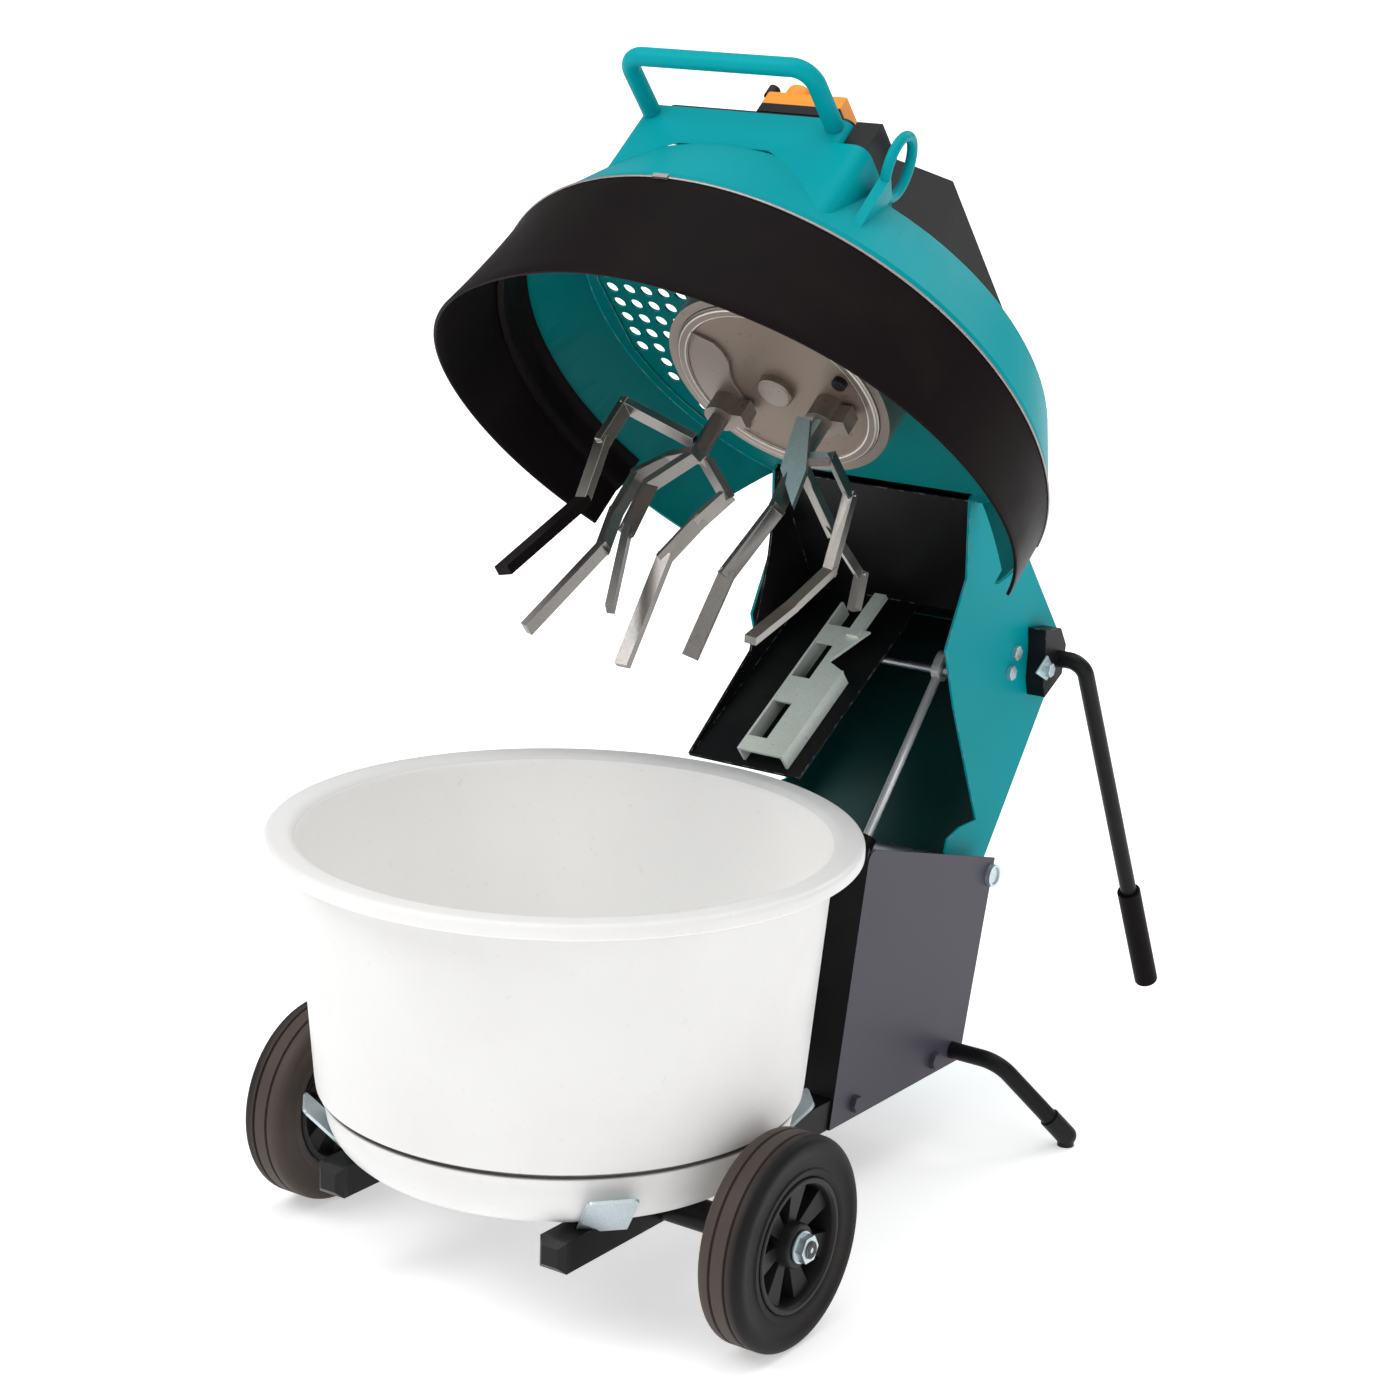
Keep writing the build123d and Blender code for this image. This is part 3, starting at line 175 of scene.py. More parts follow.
def dressed(name, body, node, finish, edge=0.6, parts=2):
    """A copy of a solid with plain faces merged, its edges rounded and its curves smooth."""
    shape = bmesh.new()
    shape.from_mesh(nodes[node].data)
    bmesh.ops.remove_doubles(shape, verts=shape.verts, dist=2e-6)
    bmesh.ops.dissolve_limit(shape, angle_limit=radians(0.5), verts=shape.verts, edges=shape.edges)
    mesh = bpy.data.meshes.new(name)
    shape.to_mesh(mesh)
    shape.free()
    return finished(name, body, mesh, finish, (node,), edge, parts)


def meshed(name, shape):
    """A mesh of a finished shape."""
    mesh = bpy.data.meshes.new(name)
    shape.to_mesh(mesh)
    shape.free()
    return mesh


black, dry_mortar = (0.006, 0.006, 0.007), (0.12, 0.11, 0.105)
black_finish = painted_finish("black powder coat", black, dry_mortar, 0.08, (0.4, 0.55), 0.16)
dressed("rails", "chassis", "chassis_rails", black_finish)
dressed("axle_tube", "chassis", "axle_cross_tube", black_finish)
dressed("rear_bar", "chassis", "rear_foot_bar", black_finish, 0.4)

# Weld beads where the axle tube and the tub plates join the rails: rows of small flattened drops,
# painted over on the tubes.


def weld_run(shape, start, end, size):
    """A row of overlapping drops of weld metal from one point to another, in millimetres."""
    start, end = Vector(start), Vector(end)
    count = max(2, int((end - start).length / (size * 0.7)))
    for step in range(count + 1):
        spot = start.lerp(end, step / count) * mm
        spot.y += tub_y * mm
        drop = Matrix.Translation(spot) @ Matrix.Diagonal((size * mm, size * mm, size * 0.7 * mm, 1.0))
        bmesh.ops.create_icosphere(shape, subdivisions=2, radius=1.0, matrix=drop)


axle_y, axle_z, axle_tube_radius = -24.0, 100.0, 15.4
rail_inner, rail_top, weld_arcs = 113.2, 115.4, 24
welds = bmesh.new()
for side in (-1, 1):
    ring = [(side * rail_inner, axle_y + axle_tube_radius * cos(turn), axle_z + axle_tube_radius * sin(turn))
            for turn in (2 * pi * step / weld_arcs for step in range(weld_arcs + 1))]
    for start, end in zip(ring, ring[1:]):
        weld_run(welds, start, end, 1.7)
    for end in (-1, 1):
        weld_run(welds, (side * 142.4, end * 131.4, rail_top), (side * 130.8, end * 144.6, rail_top), 1.9)
finished("frame_welds", "chassis", meshed("frame_welds", welds), black_finish[:1], ())

# Moulded plastic plugs in the open ends of the rails, and the rubber feet of the rear bar.
jet = (0.008, 0.008, 0.009)
black_plastic, add, link, shader, place, masks = new_material("black moulded plastic", 0.0, jet, 0.42, 0.2)
link(mixed(add, link, masks["Dust"], jet, (0.1, 0.095, 0.09), 0.15), shader.inputs["Base Color"])
link(spread(add, link, masks["Dust"], 0.38, 0.6), shader.inputs["Roughness"])
raised(add, link, masks["Grain"], 0.00008, shader)
dressed("end_caps_moulded", "chassis", "end_caps", (black_plastic,), 0.8)

# Zinc-plated steel: the axle with its nuts and washers, the pivot pin, and the plates that hold the
# tub. The plating is pale, slightly blue, and dull where hands and mortar have been.


def zinc_finish(name, colour, rough, flake_scale, contrast=0.82, dirt=0.35, metal=1.0):
    """Bright zinc: fine crystal facets of slightly different tone, with dull marks and dirt."""
    made, add, link, shader, place, masks = new_material(name, 1.0, colour, rough)
    flakes = add("ShaderNodeTexVoronoi")
    flakes.inputs["Scale"].default_value = flake_scale
    link(place, flakes.inputs["Vector"])
    grey = add("ShaderNodeSeparateColor")
    link(flakes.outputs["Color"], grey.inputs["Color"])
    facets = mixed(add, link, grey.outputs["Red"], tuple(c * contrast for c in colour), colour)
    dusted = mixed(add, link, masks["Dust"], facets, (0.3, 0.28, 0.25), dirt)
    specked = mixed(add, link, masks["Fleck"], dusted, (0.16, 0.14, 0.12), 0.25)
    link(specked, shader.inputs["Base Color"])
    link(spread(add, link, masks["Dust"], metal, metal * (1.0 - dirt)), shader.inputs["Metallic"])
    link(spread(add, link, grey.outputs["Green"], rough - 0.05, rough + 0.12), shader.inputs["Roughness"])
    raised(add, link, masks["Grain"], 0.00003, shader)
    return made


zinc = zinc_finish("zinc plate", (0.66, 0.76, 0.80), 0.4, 900.0, 0.86, 0.25)
for node in ("wheel_axle", "tub_locating_tabs", "pivot_pin", "strut_foot_bracket"):
    dressed(node + "_zinc", "chassis", node, (zinc,), 0.4)

# Wheel nuts are plated and stand on their washers; the bolt heads of the column are painted over.
dark_grey = (0.058, 0.055, 0.075)
grey_finish = painted_finish("dark grey powder coat", dark_grey, (0.17, 0.16, 0.16), 0.09, (0.4, 0.5), 0.22)
fasteners = dressed("fasteners_zinc", "chassis", "chassis_fasteners", (zinc,), 0.4)
fasteners.data.materials.append(grey_finish[0])
for polygon in fasteners.data.polygons:
    on_column = abs(polygon.center.x) < 0.2
    polygon.material_index = 1 if on_column else 0

# The turned end of the axle in the middle of each nut is bare dark steel with a centre hole.


def turned(points, place, closed=True, steps=96):
    """A shape turned about an axis from (radius, height) points in millimetres, then put in its place."""
    shape = bmesh.new()
    rings = [shape.verts.new((radius * mm, 0.0, height * mm)) for radius, height in points]
    edges = [shape.edges.new(pair) for pair in zip(rings, rings[1:])]
    if closed:
        edges.append(shape.edges.new((rings[-1], rings[0])))
    bmesh.ops.spin(shape, geom=rings + edges, cent=(0, 0, 0), axis=(0, 0, 1), dvec=(0, 0, 0), angle=2 * pi,
                   steps=steps, use_merge=True, use_duplicate=False)
    bmesh.ops.remove_doubles(shape, verts=shape.verts, dist=2e-6)
    bmesh.ops.recalc_face_normals(shape, faces=shape.faces)
    shape.transform(place)
    return shape


def arc(radius_at, height_at, size, first, last, count=6):
    """Points of a rounded corner between two directions in degrees."""
    turns = [radians(first + (last - first) * step / count) for step in range(count + 1)]
    return [(radius_at + size * cos(turn), height_at + size * sin(turn)) for turn in turns]


dark_steel = zinc_finish("dark steel", (0.05, 0.05, 0.055), 0.4, 900.0)
wheel_inner, wheel_width = 244.0, 46.0
wheel_place = {}
for side, facing in (("right", 1), ("left", -1)):
    stand = Vector((facing * wheel_inner, axle_y + tub_y, axle_z)) * mm
    wheel_place[side] = Matrix.Translation(stand) @ Matrix.Rotation(radians(90 * facing), 4, "Y")
    end = turned([(0, 57.4), (2.2, 57.4), (3.0, 58.6), (7.0, 58.6), (8.2, 57.6), (8.2, 56.5), (0, 56.5)],
                 wheel_place[side], False, 32)
    finished("axle_end_" + side, "chassis", meshed("axle_end_" + side, end), (dark_steel,), ())

# Wheels: solid rubber tyres with two grooves in the tread, on spoked black plastic centres.
side_rubber, tread_rubber = (0.009, 0.008, 0.0085), (0.07, 0.055, 0.048)
tyre_rubber, add, link, shader, place, masks = new_material("tyre rubber", 0.0, side_rubber, 0.7, 0.15)
tread = add("ShaderNodeSeparateXYZ")
link(place, tread.inputs["Vector"])
across = add("ShaderNodeMath")
across.operation = "ABSOLUTE"
link(tread.outputs["X"], across.inputs[0])
side_share = spread(add, link, across.outputs[0], 1.0, 0.0, 0.272, 0.284)
rubber = mixed(add, link, side_share, side_rubber, tread_rubber)
link(mixed(add, link, masks["Dust"], rubber, (0.13, 0.105, 0.09), 0.25), shader.inputs["Base Color"])
link(spread(add, link, masks["Dust"], 0.5, 0.85), shader.inputs["Roughness"])
raised(add, link, masks["Grain"], 0.00015, shader)
tyre_side = [(63.2, 2.5), (65.5, 0.8), (70.5, 0.3), (72.0, 1.6), (84.0, 1.0), (85.2, 0.2)]
tread_groove = [(100.0, 13.6), (97.4, 14.3), (97.4, 16.1), (100.0, 16.8)]
half_tyre = tyre_side + arc(91.0, 9.0, 9.0, -90, 0, 8) + tread_groove
tyre_points = half_tyre + [(radius, wheel_width - height) for radius, height in reversed(half_tyre)]
rim_points = [(57.0, 1.0), (58.5, 0.2), (62.0, 0.2), (62.9, 1.2), (62.9, 44.8), (62.0, 45.8), (58.5, 45.8),
              (57.0, 44.4), (55.8, 42.0), (55.8, 4.0)]
hub_points = [(12.2, 0.0), (19.0, 0.0), (21.0, 2.0), (21.0, 43.0), (19.5, 45.4), (12.2, 45.4)]
spokes, spoke_root, spoke_length, spoke_turn = 7, 19.0, 38.5, 83.0 - 90.0 + 180.0 / 7
for side in ("right", "left"):
    tyre = turned(tyre_points, wheel_place[side], True, 128)
    finished("tyre_" + side, "wheel_" + side, meshed("tyre_" + side, tyre), (tyre_rubber,),
             ("wheel_tyre_" + side,))
    centre = turned(rim_points, wheel_place[side])
    hub = turned(hub_points, wheel_place[side])
    hub_mesh = meshed("hub_" + side, hub)
    centre.from_mesh(hub_mesh)
    bpy.data.meshes.remove(hub_mesh)
    for spoke in range(spokes):
        blade = bmesh.ops.create_cube(centre, size=1.0)["verts"]
        for corner in blade:
            along = 0.5 + corner.co.x
            width = 12.0 + 13.0 * along
            depth = 34.0 if corner.co.z > 0 else 8.0
            reach = spoke_root + spoke_length * along
            corner.co = (reach * mm, corner.co.y * width * mm, (depth + 4.0 * along) * mm)
        angle = radians(spoke * 360.0 / spokes + spoke_turn)
        bmesh.ops.transform(centre, matrix=wheel_place[side] @ Matrix.Rotation(angle, 4, "Z"), verts=blade)
    finished("rim_" + side, "wheel_" + side, meshed("rim_" + side, centre), (black_plastic,),
             ("wheel_rim_" + side,), 1.2, 3)

# Column: three folded sheets bolted into an open box that carries the pivot, painted dark grey, and
# black on the faces turned to the front.
for node in ("column_base", "column_side_right", "column_side_left"):
    sheet = dressed(node + "_grey", "chassis", node, grey_finish, 0.6)
    sheet.data.materials.append(black_finish[0])
    for polygon in sheet.data.polygons:
        faces_front = polygon.normal.y < -0.5 and abs(polygon.normal.x) < 0.5
        polygon.material_index = 2 if faces_front else 0

# Tub: moulded in white polyethylene, which lets a little light through. It has a rounded foot, a
# groove above it darkened with painted shade, and a hollow rolled rim.


def polyethylene(name, light, dull, dirty, groove_painted_shade):
    """Moulded plastic with soft scattering, scuffs, mortar dust and painted shade in the groove."""
    made, add, link, shader, place, masks = new_material(name, 0.0, light, 0.36, 0.3)
    shader.inputs["Subsurface Weight"].default_value = 0.5
    shader.inputs["Subsurface Radius"].default_value = (0.03, 0.027, 0.025)
    shader.inputs["Subsurface Scale"].default_value = 0.5
    height = add("ShaderNodeSeparateXYZ")
    link(place, height.inputs["Vector"])
    below = spread(add, link, height.outputs["Z"], 0.0, 1.0, 0.1795, 0.1775)
    above = spread(add, link, height.outputs["Z"], 0.0, 1.0, 0.1725, 0.1740)
    in_groove = add("ShaderNodeMath")
    in_groove.operation = "MULTIPLY"
    link(below, in_groove.inputs[0])
    link(above, in_groove.inputs[1])
    scuffed = mixed(add, link, masks["Dust"], mixed(add, link, masks["Tone"], dull, light), dirty, 0.25)
    specked = mixed(add, link, masks["Fleck"], scuffed, (0.5, 0.48, 0.46), 0.15)
    # The narrow band of the groove is painted dark: painted shade in the groove.
    link(mixed(add, link, in_groove.outputs[0], specked, (0.1, 0.095, 0.085), groove_painted_shade),
         shader.inputs["Base Color"])
    link(spread(add, link, masks["Dust"], 0.32, 0.5), shader.inputs["Roughness"])
    raised(add, link, masks["Grain"], 0.00005, shader)
    return made


tub_outside = polyethylene("tub polyethylene", (0.78, 0.775, 0.77), (0.72, 0.715, 0.71), (0.62, 0.6, 0.58), 0.9)
# The inside takes a brighter copy of the plastic: painted light standing in for light through the walls.
tub_inside_painted_bright = polyethylene("tub polyethylene inside painted brighter", (0.96, 0.945, 0.925), (0.92, 0.905, 0.885),
                          (0.86, 0.83, 0.8), 0.0)
tub_points = ([(0.0, 115.0)] + arc(172.0, 163.0, 48.0, -90, 0, 12) + [(221.5, 168.0), (224.6, 172.6)]
              + [(223.6, 174.0), (220.6, 174.8), (220.6, 177.2), (225.2, 178.0), (228.2, 180.0), (229.6, 190.0)]
              + [(248.2, 402.0), (249.0, 410.0), (249.0, 420.0), (250.0, 421.0), (271.0, 421.0), (272.0, 420.0)]
              + [(272.0, 412.0), (272.8, 411.0), (275.2, 411.0), (276.0, 412.0), (276.0, 419.0)]
              + arc(270.0, 419.0, 6.0, 10, 90, 6) + [(260.0, 425.0)] + arc(257.0, 413.0, 12.0, 96, 172, 8)
              + [(224.2, 188.0), (219.0, 180.0), (216.4, 172.0)] + arc(172.0, 163.0, 44.0, 0, -90, 12)
              + [(0.0, 119.0)])
tub = turned(tub_points, Matrix.Translation((0, tub_y * mm, 0)), False, 160)
tub_body = finished("tub_body", "tub", meshed("tub_body", tub), (tub_outside,), ("tub",))
# Inner wall and floor faces take the brighter copy: painted light.
tub_body.data.materials.append(tub_inside_painted_bright)
for polygon in tub_body.data.polygons:
    outward = Vector((polygon.center.x, polygon.center.y - tub_y * mm, 0.0))
    on_wall = outward.dot(polygon.normal) < 0 and outward.length < 0.2475
    on_floor = polygon.normal.z > 0.8 and 0.117 < polygon.center.z < 0.13
    if on_floor or (on_wall and polygon.center.z < 0.425):
        polygon.material_index = 1

# Arm and hood: pressed and folded steel in gloss turquoise. The inside of the arm is painted
# shade: near black, with dark turquoise low down.
turquoise, dusty_turquoise, arm_shade_black = (0.0, 0.305, 0.345), (0.04, 0.3, 0.33), (0.008, 0.009, 0.01)
turquoise_finish = painted_finish("turquoise powder coat", turquoise, dusty_turquoise, 0.1, (0.4, 0.5), 0.05)
# Painted shade for the inside of the arm: near black, dark turquoise towards the bottom.
arm_inside_shade, add, link, shader, place, masks = new_material("arm inside painted shade", 0.0, arm_shade_black, 0.5, 0.3)
height = add("ShaderNodeSeparateXYZ")
link(place, height.inputs["Vector"])
low_down = spread(add, link, height.outputs["Z"], 1.0, 0.0, 0.37, 0.5)
shade_teal_low = mixed(add, link, low_down, arm_shade_black, (0.0, 0.10, 0.095), 0.7)
link(mixed(add, link, masks["Dust"], shade_teal_low, (0.05, 0.055, 0.055), 0.3), shader.inputs["Base Color"])
link(spread(add, link, masks["Dust"], 0.45, 0.65), shader.inputs["Roughness"])
raised(add, link, masks["Grain"], 0.00006, shader)

pivot, open_angle = Vector((0.0, 543.0, 276.5)), 50.0
swung = (Matrix.Translation((0, tub_y * mm, 0)) @ Matrix.Translation(pivot * mm)
         @ Matrix.Rotation(radians(-open_angle), 4, "X") @ Matrix.Translation(-pivot * mm))
head_y = 5.0
arm_middle = swung @ (Vector((0.0, 440.0, 440.0)) * mm)
hood_middle = swung @ (Vector((0.0, head_y, 400.0)) * mm)
# Darker turquoise for the inner faces of the hood and grille: painted shade.
hood_inside_painted_shade = powder_coat("turquoise inside with painted shade", (0.0, 0.2, 0.205), (0.02, 0.13, 0.13), 0.5, (0.4, 0.55),
                            specular=0.1)
for node in ("hood", "front_handle", "front_housing", "lashing_eye", "feed_grille"):
    panel = dressed(node + "_turquoise", "head", node, turquoise_finish, 0.6)
    panel.data.materials.append(hood_inside_painted_shade)
    for polygon in panel.data.polygons:
        if node in ("hood", "feed_grille") and (hood_middle - polygon.center).dot(polygon.normal) > 0:
            polygon.material_index = 2
for node in ("arm_cheek_right", "arm_cheek_left", "arm_spine"):
    sheet = dressed(node + "_turquoise", "head", node, turquoise_finish, 0.6)
    sheet.data.materials.append(arm_inside_shade)
    for polygon in sheet.data.polygons:
        if node == "arm_spine":
            towards = (arm_middle - polygon.center).normalized().dot(polygon.normal)
            inner = towards > 0.05 and abs(polygon.normal.x) < 0.5
        else:
            inner = abs(polygon.normal.x) > 0.9 and polygon.normal.x * polygon.center.x < 0
        # Inner faces take the painted shade material.
        if inner:
            polygon.material_index = 2
for node in ("motor_cover", "head_plate", "arm_front_panel"):
    dressed(node + "_black", "head", node, black_finish, 0.6)
dressed("lever_brackets", "head", "lever_clamps", black_finish, 0.6)
for node in ("strut_cross_rod", "arm_bolts"):
    dressed(node + "_zinc", "head", node, (zinc,), 0.3)
for node in ("panel_lid", "switch_housing", "cable_inlet"):
    dressed(node + "_plastic", "head", node, (black_plastic,), 0.6)

# Latch rail on the guard: galvanised sheet with a dull pale green passivation.
passivated = zinc_finish("pale green passivated zinc", (0.8, 0.86, 0.8), 0.5, 500.0, 0.92, 0.3, 0.25)
dressed("latch_rail", "head", "notch_rail", (passivated,), 0.5)

# Light zinc plate with its bolt on the outside of each black lever bracket.
for side in (-1, 1):
    plate = bmesh.new()
    corners = [plate.verts.new((142.8 * side * mm, y * mm, z * mm))
               for y, z in ((441.0, 493.0), (462.0, 493.0), (462.0, 476.0), (438.0, 466.0))]
    face = plate.faces.new(corners)
    grown = bmesh.ops.extrude_face_region(plate, geom=[face])["geom"]
    moved = [item for item in grown if isinstance(item, bmesh.types.BMVert)]
    bmesh.ops.translate(plate, verts=moved, vec=(2.5 * side * mm, 0, 0))
    nut_middle = Vector((148.6 * side, 451.0, 482.0)) * mm
    nut_place = Matrix.Translation(nut_middle) @ Matrix.Rotation(pi / 2, 4, "Y")
    bmesh.ops.create_cone(plate, cap_ends=True, segments=6, radius1=7.5 * mm, radius2=7.5 * mm, depth=7.0 * mm,
                          matrix=nut_place)
    bmesh.ops.recalc_face_normals(plate, faces=plate.faces)
    plate.transform(swung)
    name = "lever_plate_right" if side > 0 else "lever_plate_left"
    finished(name, "head", meshed(name, plate), (zinc,), (), 0.5)

# Skirt: a strip of black rubber sheet folded round the edge of the hood, open behind. It hangs a
# little slack and bulges at the left. A thin steel strap with a clamp holds its upper edge.
soot = (0.006, 0.004, 0.004)
skirt_rubber, add, link, shader, place, masks = new_material("skirt rubber", 0.0, soot, 0.6, 0.04)
rubbed = mixed(add, link, masks["Tone"], (0.005, 0.0035, 0.0038), (0.009, 0.0062, 0.0066))
link(mixed(add, link, masks["Dust"], rubbed, (0.03, 0.024, 0.022), 0.2), shader.inputs["Base Color"])
link(spread(add, link, masks["Dust"], 0.42, 0.65), shader.inputs["Roughness"])
raised(add, link, masks["Grain"], 0.0001, shader)
skirt_ends, skirt_top = (147.0, 393.0), 428.0


def strip(shape, around, across, path):
    """A sheet that follows the edge of the hood, its height and reach given by a path."""
    made = bmesh.ops.create_grid(shape, x_segments=around, y_segments=across, size=0.5)["verts"]
    for corner in made:
        azimuth = skirt_ends[0] + (skirt_ends[1] - skirt_ends[0]) * (corner.co.x + 0.5)
        reach, height = path(azimuth, corner.co.y + 0.5)
        turn = radians(azimuth)
        corner.co = (reach * cos(turn) * mm, (head_y + reach * sin(turn)) * mm, height * mm)


def hanging(azimuth, share):
    """The outer sheet, from its upper edge to its slanted lower edge."""
    low = 341.0 + 0.13 * 293.0 * sin(radians(azimuth))
    bulge = 20.0 * exp(-((azimuth - 206.0) / 30.0) ** 2) * share ** 1.4
    wave = 0.8 * sin(radians(azimuth * 7.0)) * share
    return 293.1 + bulge + wave, skirt_top + (low - skirt_top) * share


def folded_in(azimuth, share):
    """The inner lap, from inside the hood down and out under its edge."""
    height = 447.0 - 39.0 * share
    lean = max(0.0, height - 436.0) * 36.0 / 79.0
    outward = 6.5 * max(0.0, (share - 0.85) / 0.15) ** 2
    return 285.2 - lean + outward, height


skirt = bmesh.new()
strip(skirt, 160, 10, hanging)
strip(skirt, 160, 12, folded_in)
bmesh.ops.recalc_face_normals(skirt, faces=skirt.faces)
skirt.transform(swung)
skirt_piece = finished("skirt", "head", meshed("skirt", skirt), (skirt_rubber,), ("rubber_skirt",))
wall = skirt_piece.modifiers.new("rubber thickness", "SOLIDIFY")
wall.thickness = 3.8 * mm
wall.offset = 0.0
wall.use_even_offset = True
soft = skirt_piece.modifiers.new("soft edges", "BEVEL")
soft.width = 1.0 * mm
soft.segments = 2
soft.limit_method = "ANGLE"
soft.angle_limit = radians(50)

strap_steel = zinc_finish("strap steel", (0.42, 0.38, 0.37), 0.45, 900.0)
strap = bmesh.new()
strip(strap, 160, 2, lambda azimuth, share: (295.5, skirt_top - 1.0 - 2.2 * share))
bmesh.ops.create_cube(strap, size=1.0, matrix=Matrix.Translation(
    (0, (head_y - 296.6) * mm, (skirt_top - 2.2) * mm)) @ Matrix.Diagonal((0.016, 0.002, 0.004, 1.0)))
bmesh.ops.recalc_face_normals(strap, faces=strap.faces)
strap.transform(swung)
strap_piece = finished("skirt_strap", "head", meshed("skirt_strap", strap), (strap_steel,),
                       ("skirt_band",))
wall = strap_piece.modifiers.new("strap thickness", "SOLIDIFY")
wall.thickness = 1.2 * mm
wall.offset = 0.0

# Hinged orange cover and green button over the switches, moulded in glossy plastic.


def plastic_finish(name, colour, rough):
    """Moulded plastic with a fine grain and grubby patches."""
    made, add, link, shader, place, masks = new_material(name, 0.0, colour, rough)
    grubby = tuple(c * 0.6 for c in colour)
    link(mixed(add, link, masks["Dust"], colour, grubby, 0.4), shader.inputs["Base Color"])
    link(spread(add, link, masks["Dust"], rough, rough + 0.2), shader.inputs["Roughness"])
    raised(add, link, masks["Grain"], 0.00004, shader)
    return made


orange = plastic_finish("orange plastic", (0.85, 0.27, 0.005), 0.34)
green = plastic_finish("green plastic", (0.02, 0.3, 0.05), 0.34)
dressed("stop_cover", "stop_flap", "stop_flap", (orange,), 0.8)
dressed("button_cap", "start_button", "start_button", (green,), 0.8)

# Drive: the stained steel drum under the hood, and the bearings, gears and motor inside the cover.


def machined_finish(name, colour, stain, rough, amount):
    """Turned steel with fine rings of tool marks, stained by dried mortar."""
    made, add, link, shader, place, masks = new_material(name, 0.85, colour, rough)
    marks = add("ShaderNodeTexWave")
    marks.wave_type = "RINGS"
    marks.inputs["Scale"].default_value = 160.0
    marks.inputs["Distortion"].default_value = 1.5
    link(place, marks.inputs["Vector"])
    lined = mixed(add, link, marks.outputs["Fac"], tuple(c * 0.93 for c in colour), colour)
    toned = mixed(add, link, masks["Tone"], lined, stain, amount)
    dusted = mixed(add, link, masks["Dust"], toned, stain, amount)
    specked = mixed(add, link, masks["Fleck"], dusted, (0.08, 0.06, 0.045), 0.5)
    link(specked, shader.inputs["Base Color"])
    link(spread(add, link, masks["Dust"], 0.85, 0.5), shader.inputs["Metallic"])
    link(spread(add, link, masks["Tone"], rough, rough + 0.16), shader.inputs["Roughness"])
    raised(add, link, masks["Grain"], 0.00004, shader)
    return made


drum_steel = machined_finish("stained drum steel", (0.3, 0.24, 0.2), (0.2, 0.155, 0.12), 0.46, 0.6)
ring_steel = machined_finish("turned ring steel", (0.3, 0.26, 0.225), (0.2, 0.165, 0.14), 0.36, 0.4)
gear_steel = machined_finish("gear steel", (0.5, 0.5, 0.5), (0.2, 0.19, 0.17), 0.32, 0.2)
aluminium = zinc_finish("cast aluminium", (0.55, 0.56, 0.58), 0.5, 1200.0, 0.9, 0.3)
dressed("drum", "head", "gear_drum", (ring_steel,), 0.4)
for node in ("drive_bearings", "motor_housing", "gearbox_cover"):
    dressed(node + "_cast", "head", node, (aluminium,), 0.3)
dressed("rotor_steel", "motor_rotor", "motor_rotor", (gear_steel,), 0.0)
for node in ("carrier_shaft", "output_gear"):
    dressed(node + "_steel", "carrier", node, (gear_steel,), 0.0)

# Carrier disc: turned steel with a raised rim, a cast pad on its left part, a centre boss and a cap.
disc_z = 444.5
disc_place = swung @ Matrix.Translation((0, head_y * mm, disc_z * mm))
disc = turned([(0.0, 0.0), (97.0, 0.0), (98.0, -1.0), (98.0, 7.3), (0.0, 7.3)], disc_place, False, 128)
finished("disc", "carrier", meshed("disc", disc), (drum_steel,), ("carrier_disc",), 0.4)
rim = turned([(97.6, 7.3), (97.6, -1.2), (99.4, -3.0), (107.0, -3.0), (109.6, -0.4), (109.6, 7.3)], disc_place)
# Pale bright metal for the rounded edges: worn bright by turning and use, and painted highlight along the
# edges.
bright_edge_and_highlight = zinc_finish("bright turned edge and painted highlight", (0.72, 0.68, 0.62), 0.36, 1200.0, 0.9, 0.3, 0.5)
finished("disc_rim", "carrier", meshed("disc_rim", rim), (ring_steel, bright_edge_and_highlight), (), 0.9)
step = [(-72.5, -64.5), (-61.0, -58.5), (-50.0, -52.5), (-44.5, -42.0), (-42.5, -26.0), (-48.0, -10.0),
        (-50.0, 4.0), (-47.0, 18.0), (-46.0, 34.0), (-52.0, 50.0), (-58.0, 72.0)]
outer = [(-94.0 * cos(radians(turn)), head_y + 94.0 * sin(radians(turn))) for turn in range(44, -45, -8)]
pad = bmesh.new()
pad_face = pad.faces.new([pad.verts.new((x * mm, y * mm, disc_z * mm)) for x, y in step + outer])
raised_part = bmesh.ops.extrude_face_region(pad, geom=[pad_face])["geom"]
moved = [item for item in raised_part if isinstance(item, bmesh.types.BMVert)]
bmesh.ops.translate(pad, verts=moved, vec=(0, 0, -4.0 * mm))
bmesh.ops.recalc_face_normals(pad, faces=pad.faces)
pad.transform(swung)
finished("disc_pad", "carrier", meshed("disc_pad", pad), (ring_steel,), (), 1.2, 3)
hub = dressed("hub", "carrier", "hub_cap", (ring_steel, bright_edge_and_highlight), 0.6)
hub.data.materials.append(black_plastic)
for polygon in hub.data.polygons:
    polygon.material_index = 2 if polygon.center.x > 0.026 else 0
dressed("sockets", "carrier", "tool_sockets", (ring_steel, bright_edge_and_highlight), 0.8)

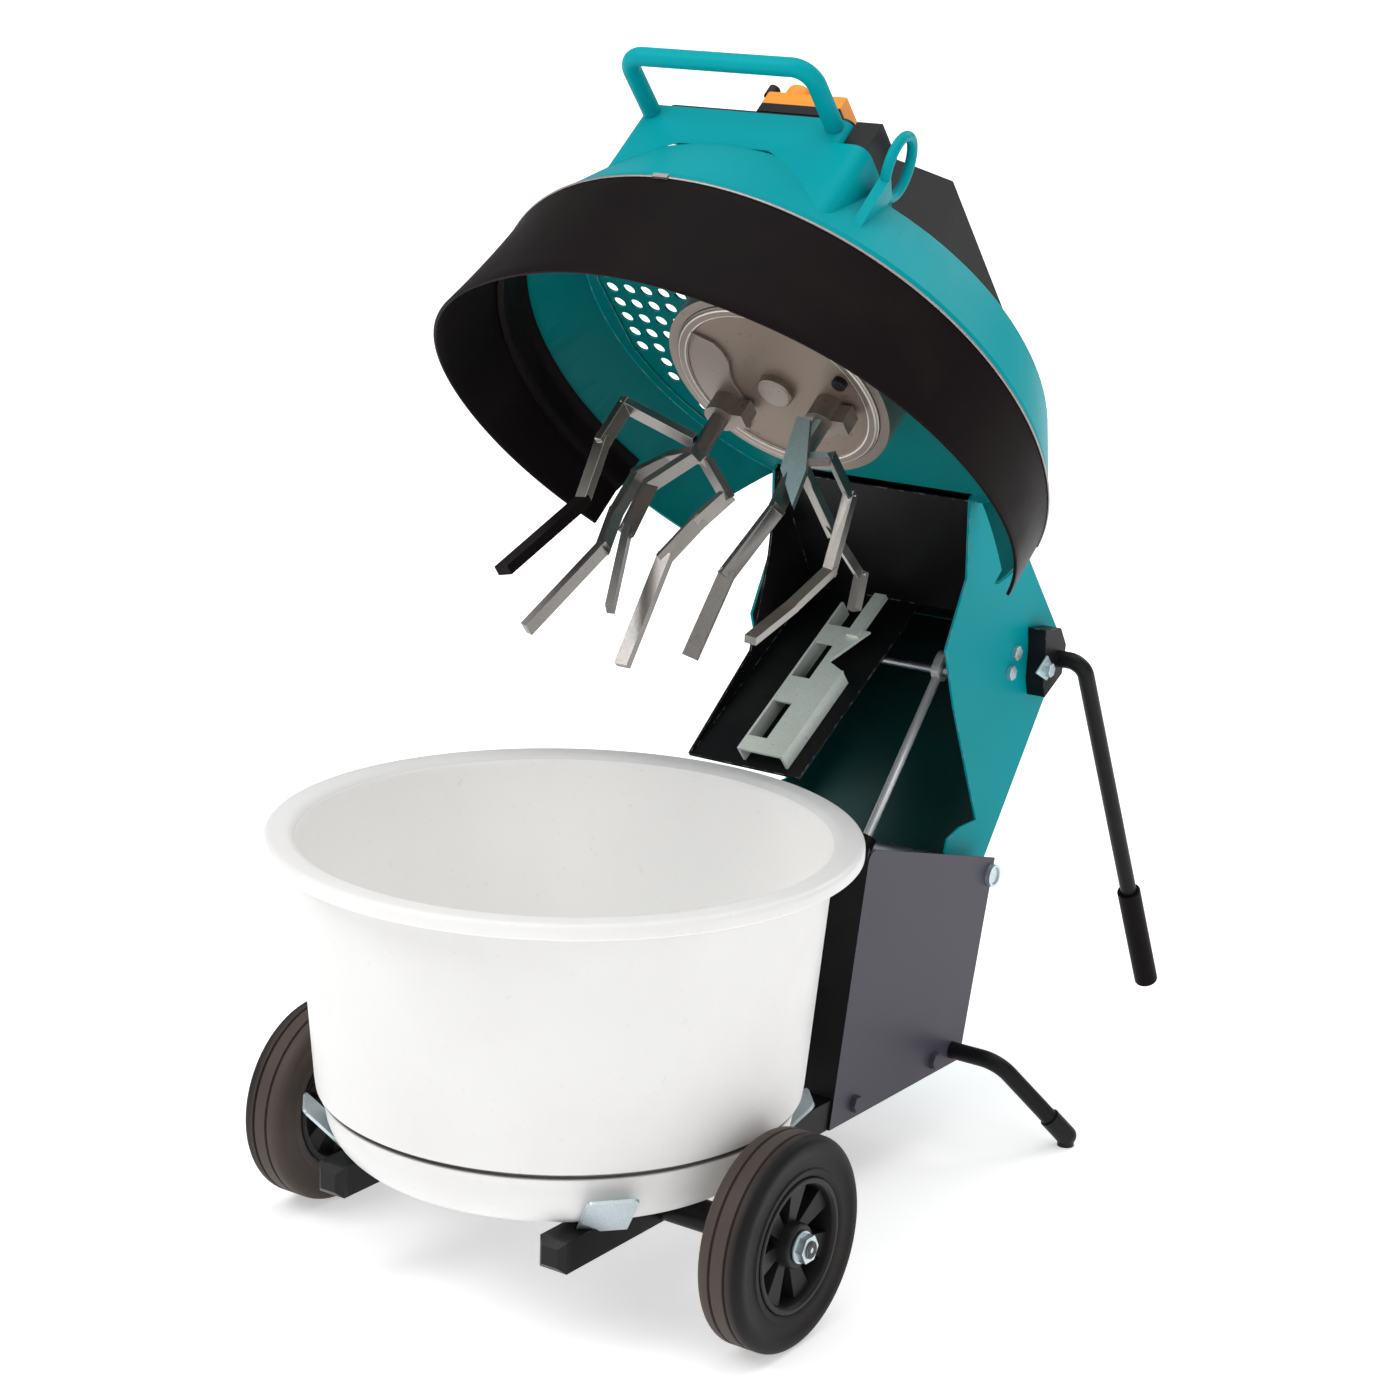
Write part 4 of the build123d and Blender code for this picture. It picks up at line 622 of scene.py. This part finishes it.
# Mixing tools: flat steel bars bent and welded to a stem, polished bright by the mortar. The plate
# on the right one is galvanised.
plate_zinc = zinc_finish("galvanised plate", (0.48, 0.64, 0.66), 0.45, 700.0, 0.86, 0.2, 0.35)
tool_steel = zinc_finish("worn tool steel", (0.3, 0.285, 0.27), 0.34, 1400.0, 0.86, 0.4)
closing = swung.inverted()
for node in ("left_tool", "right_tool", "scraper_arm"):
    # The rounded edges of the bars take the pale edge metal: worn bright, and painted highlight.
    bars = dressed(node + "_steel", "carrier", node, (tool_steel, bright_edge_and_highlight), 1.0, 3)
    bars.data.materials.append(plate_zinc)
    for polygon in bars.data.polygons:
        spot = closing @ polygon.center / mm
        across = abs((closing.to_3x3() @ polygon.normal).y) > 0.9
        on_plate = 34.0 < spot.x < 92.0 and 6.0 < spot.y < 16.0 and 300.0 < spot.z < 420.0
        polygon.material_index = 2 if node == "right_tool" and across and on_plate else 0
dressed("scraper_blade", "carrier", "scraper_rubber", (skirt_rubber,), 0.8)

# Hand levers: bent black tubes with rubber grips.
for side in ("right", "left"):
    dressed("lever_" + side + "_bar", "lever_" + side, "handle_lever_" + side, black_finish, 0.4)
    dressed("lever_" + side + "_grip", "lever_" + side, "lever_grip_" + side, (skirt_rubber,), 1.0)

# Gas strut: a black tube, and a rod ground and chromed bright.
chrome, add, link, shader, place, masks = new_material("chromed rod", 0.4, (0.92, 0.93, 0.95), 0.35)
link(mixed(add, link, masks["Dust"], (0.92, 0.93, 0.95), (0.7, 0.68, 0.65), 0.3), shader.inputs["Base Color"])
link(spread(add, link, masks["Dust"], 0.28, 0.42), shader.inputs["Roughness"])
raised(add, link, masks["Grain"], 0.000005, shader)
dressed("strut_body", "strut_tube", "strut_cylinder", black_finish, 0.4)
dressed("strut_bar", "strut_rod", "strut_piston_rod", (chrome,), 0.4)

# Floor, light and camera.
floor_shape = bmesh.new()
bmesh.ops.create_grid(floor_shape, x_segments=1, y_segments=1, size=60.0)
floor = bpy.data.objects.new("floor", meshed("floor", floor_shape))
bpy.context.scene.collection.objects.link(floor)
floor_paint, add, link, shader, place, masks = new_material("pale floor", 0.0, (0.94, 0.94, 0.94), 0.7, 0.1)
far = add("ShaderNodeVectorMath")
far.operation = "LENGTH"
link(place, far.inputs[0])
glow = spread(add, link, far.outputs["Value"], 0.42, 1.0, 0.8, 4.0)
shader.inputs["Emission Color"].default_value = (1.0, 1.0, 1.0, 1.0)
link(glow, shader.inputs["Emission Strength"])
floor.data.materials.append(floor_paint)

world = bpy.data.worlds.new("studio")
world.use_nodes = True
world.node_tree.nodes["Background"].inputs["Color"].default_value = (1.0, 1.0, 1.0, 1.0)
seen = world.node_tree.nodes.new("ShaderNodeLightPath")
strength = world.node_tree.nodes.new("ShaderNodeMapRange")
strength.inputs["To Min"].default_value = 0.42
strength.inputs["To Max"].default_value = 1.0
world.node_tree.links.new(seen.outputs["Is Camera Ray"], strength.inputs["Value"])
world.node_tree.links.new(strength.outputs["Result"], world.node_tree.nodes["Background"].inputs["Strength"])
bpy.context.scene.world = world
middle = Vector((0.0, 0.0, 0.55))
for name, place, size, power in (
        ("key light", (-1.5, -2.4, 3.1), 1.8, 60.0), ("side light", (3.0, -1.2, 1.8), 1.8, 14.0),
        ("top light", (0.2, -0.2, 3.6), 3.0, 52.0), ("back light", (0.6, 2.8, 2.6), 1.6, 22.0)):
    lamp = bpy.data.lights.new(name, "AREA")
    lamp.size = size
    lamp.energy = power
    light = bpy.data.objects.new(name, lamp)
    light.location = place
    light.rotation_mode = "QUATERNION"
    light.rotation_quaternion = (middle - Vector(place)).to_track_quat("-Z", "Y")
    bpy.context.scene.collection.objects.link(light)

lens = bpy.data.cameras.new("camera")
lens.lens = 80.1
lens.sensor_width = 36.0
lens.clip_start = 0.1
camera = bpy.data.objects.new("camera", lens)
stand = Vector((1.6522, -2.1875 + tub_y * mm, 1.2705))
aim = Vector((0.0716, 0.107 + tub_y * mm, 0.5382))
ahead = (aim - stand).normalized()
level = ahead.cross(Vector((0, 0, 1))).normalized()
upward = level.cross(ahead)
roll = radians(1.89)
right = cos(roll) * level + sin(roll) * upward
top = -sin(roll) * level + cos(roll) * upward
camera.matrix_world = Matrix.Translation(stand) @ Matrix((right, top, -ahead)).transposed().to_4x4()
bpy.context.scene.collection.objects.link(camera)
bpy.context.scene.camera = camera
bpy.context.scene.view_settings.view_transform = "Standard"
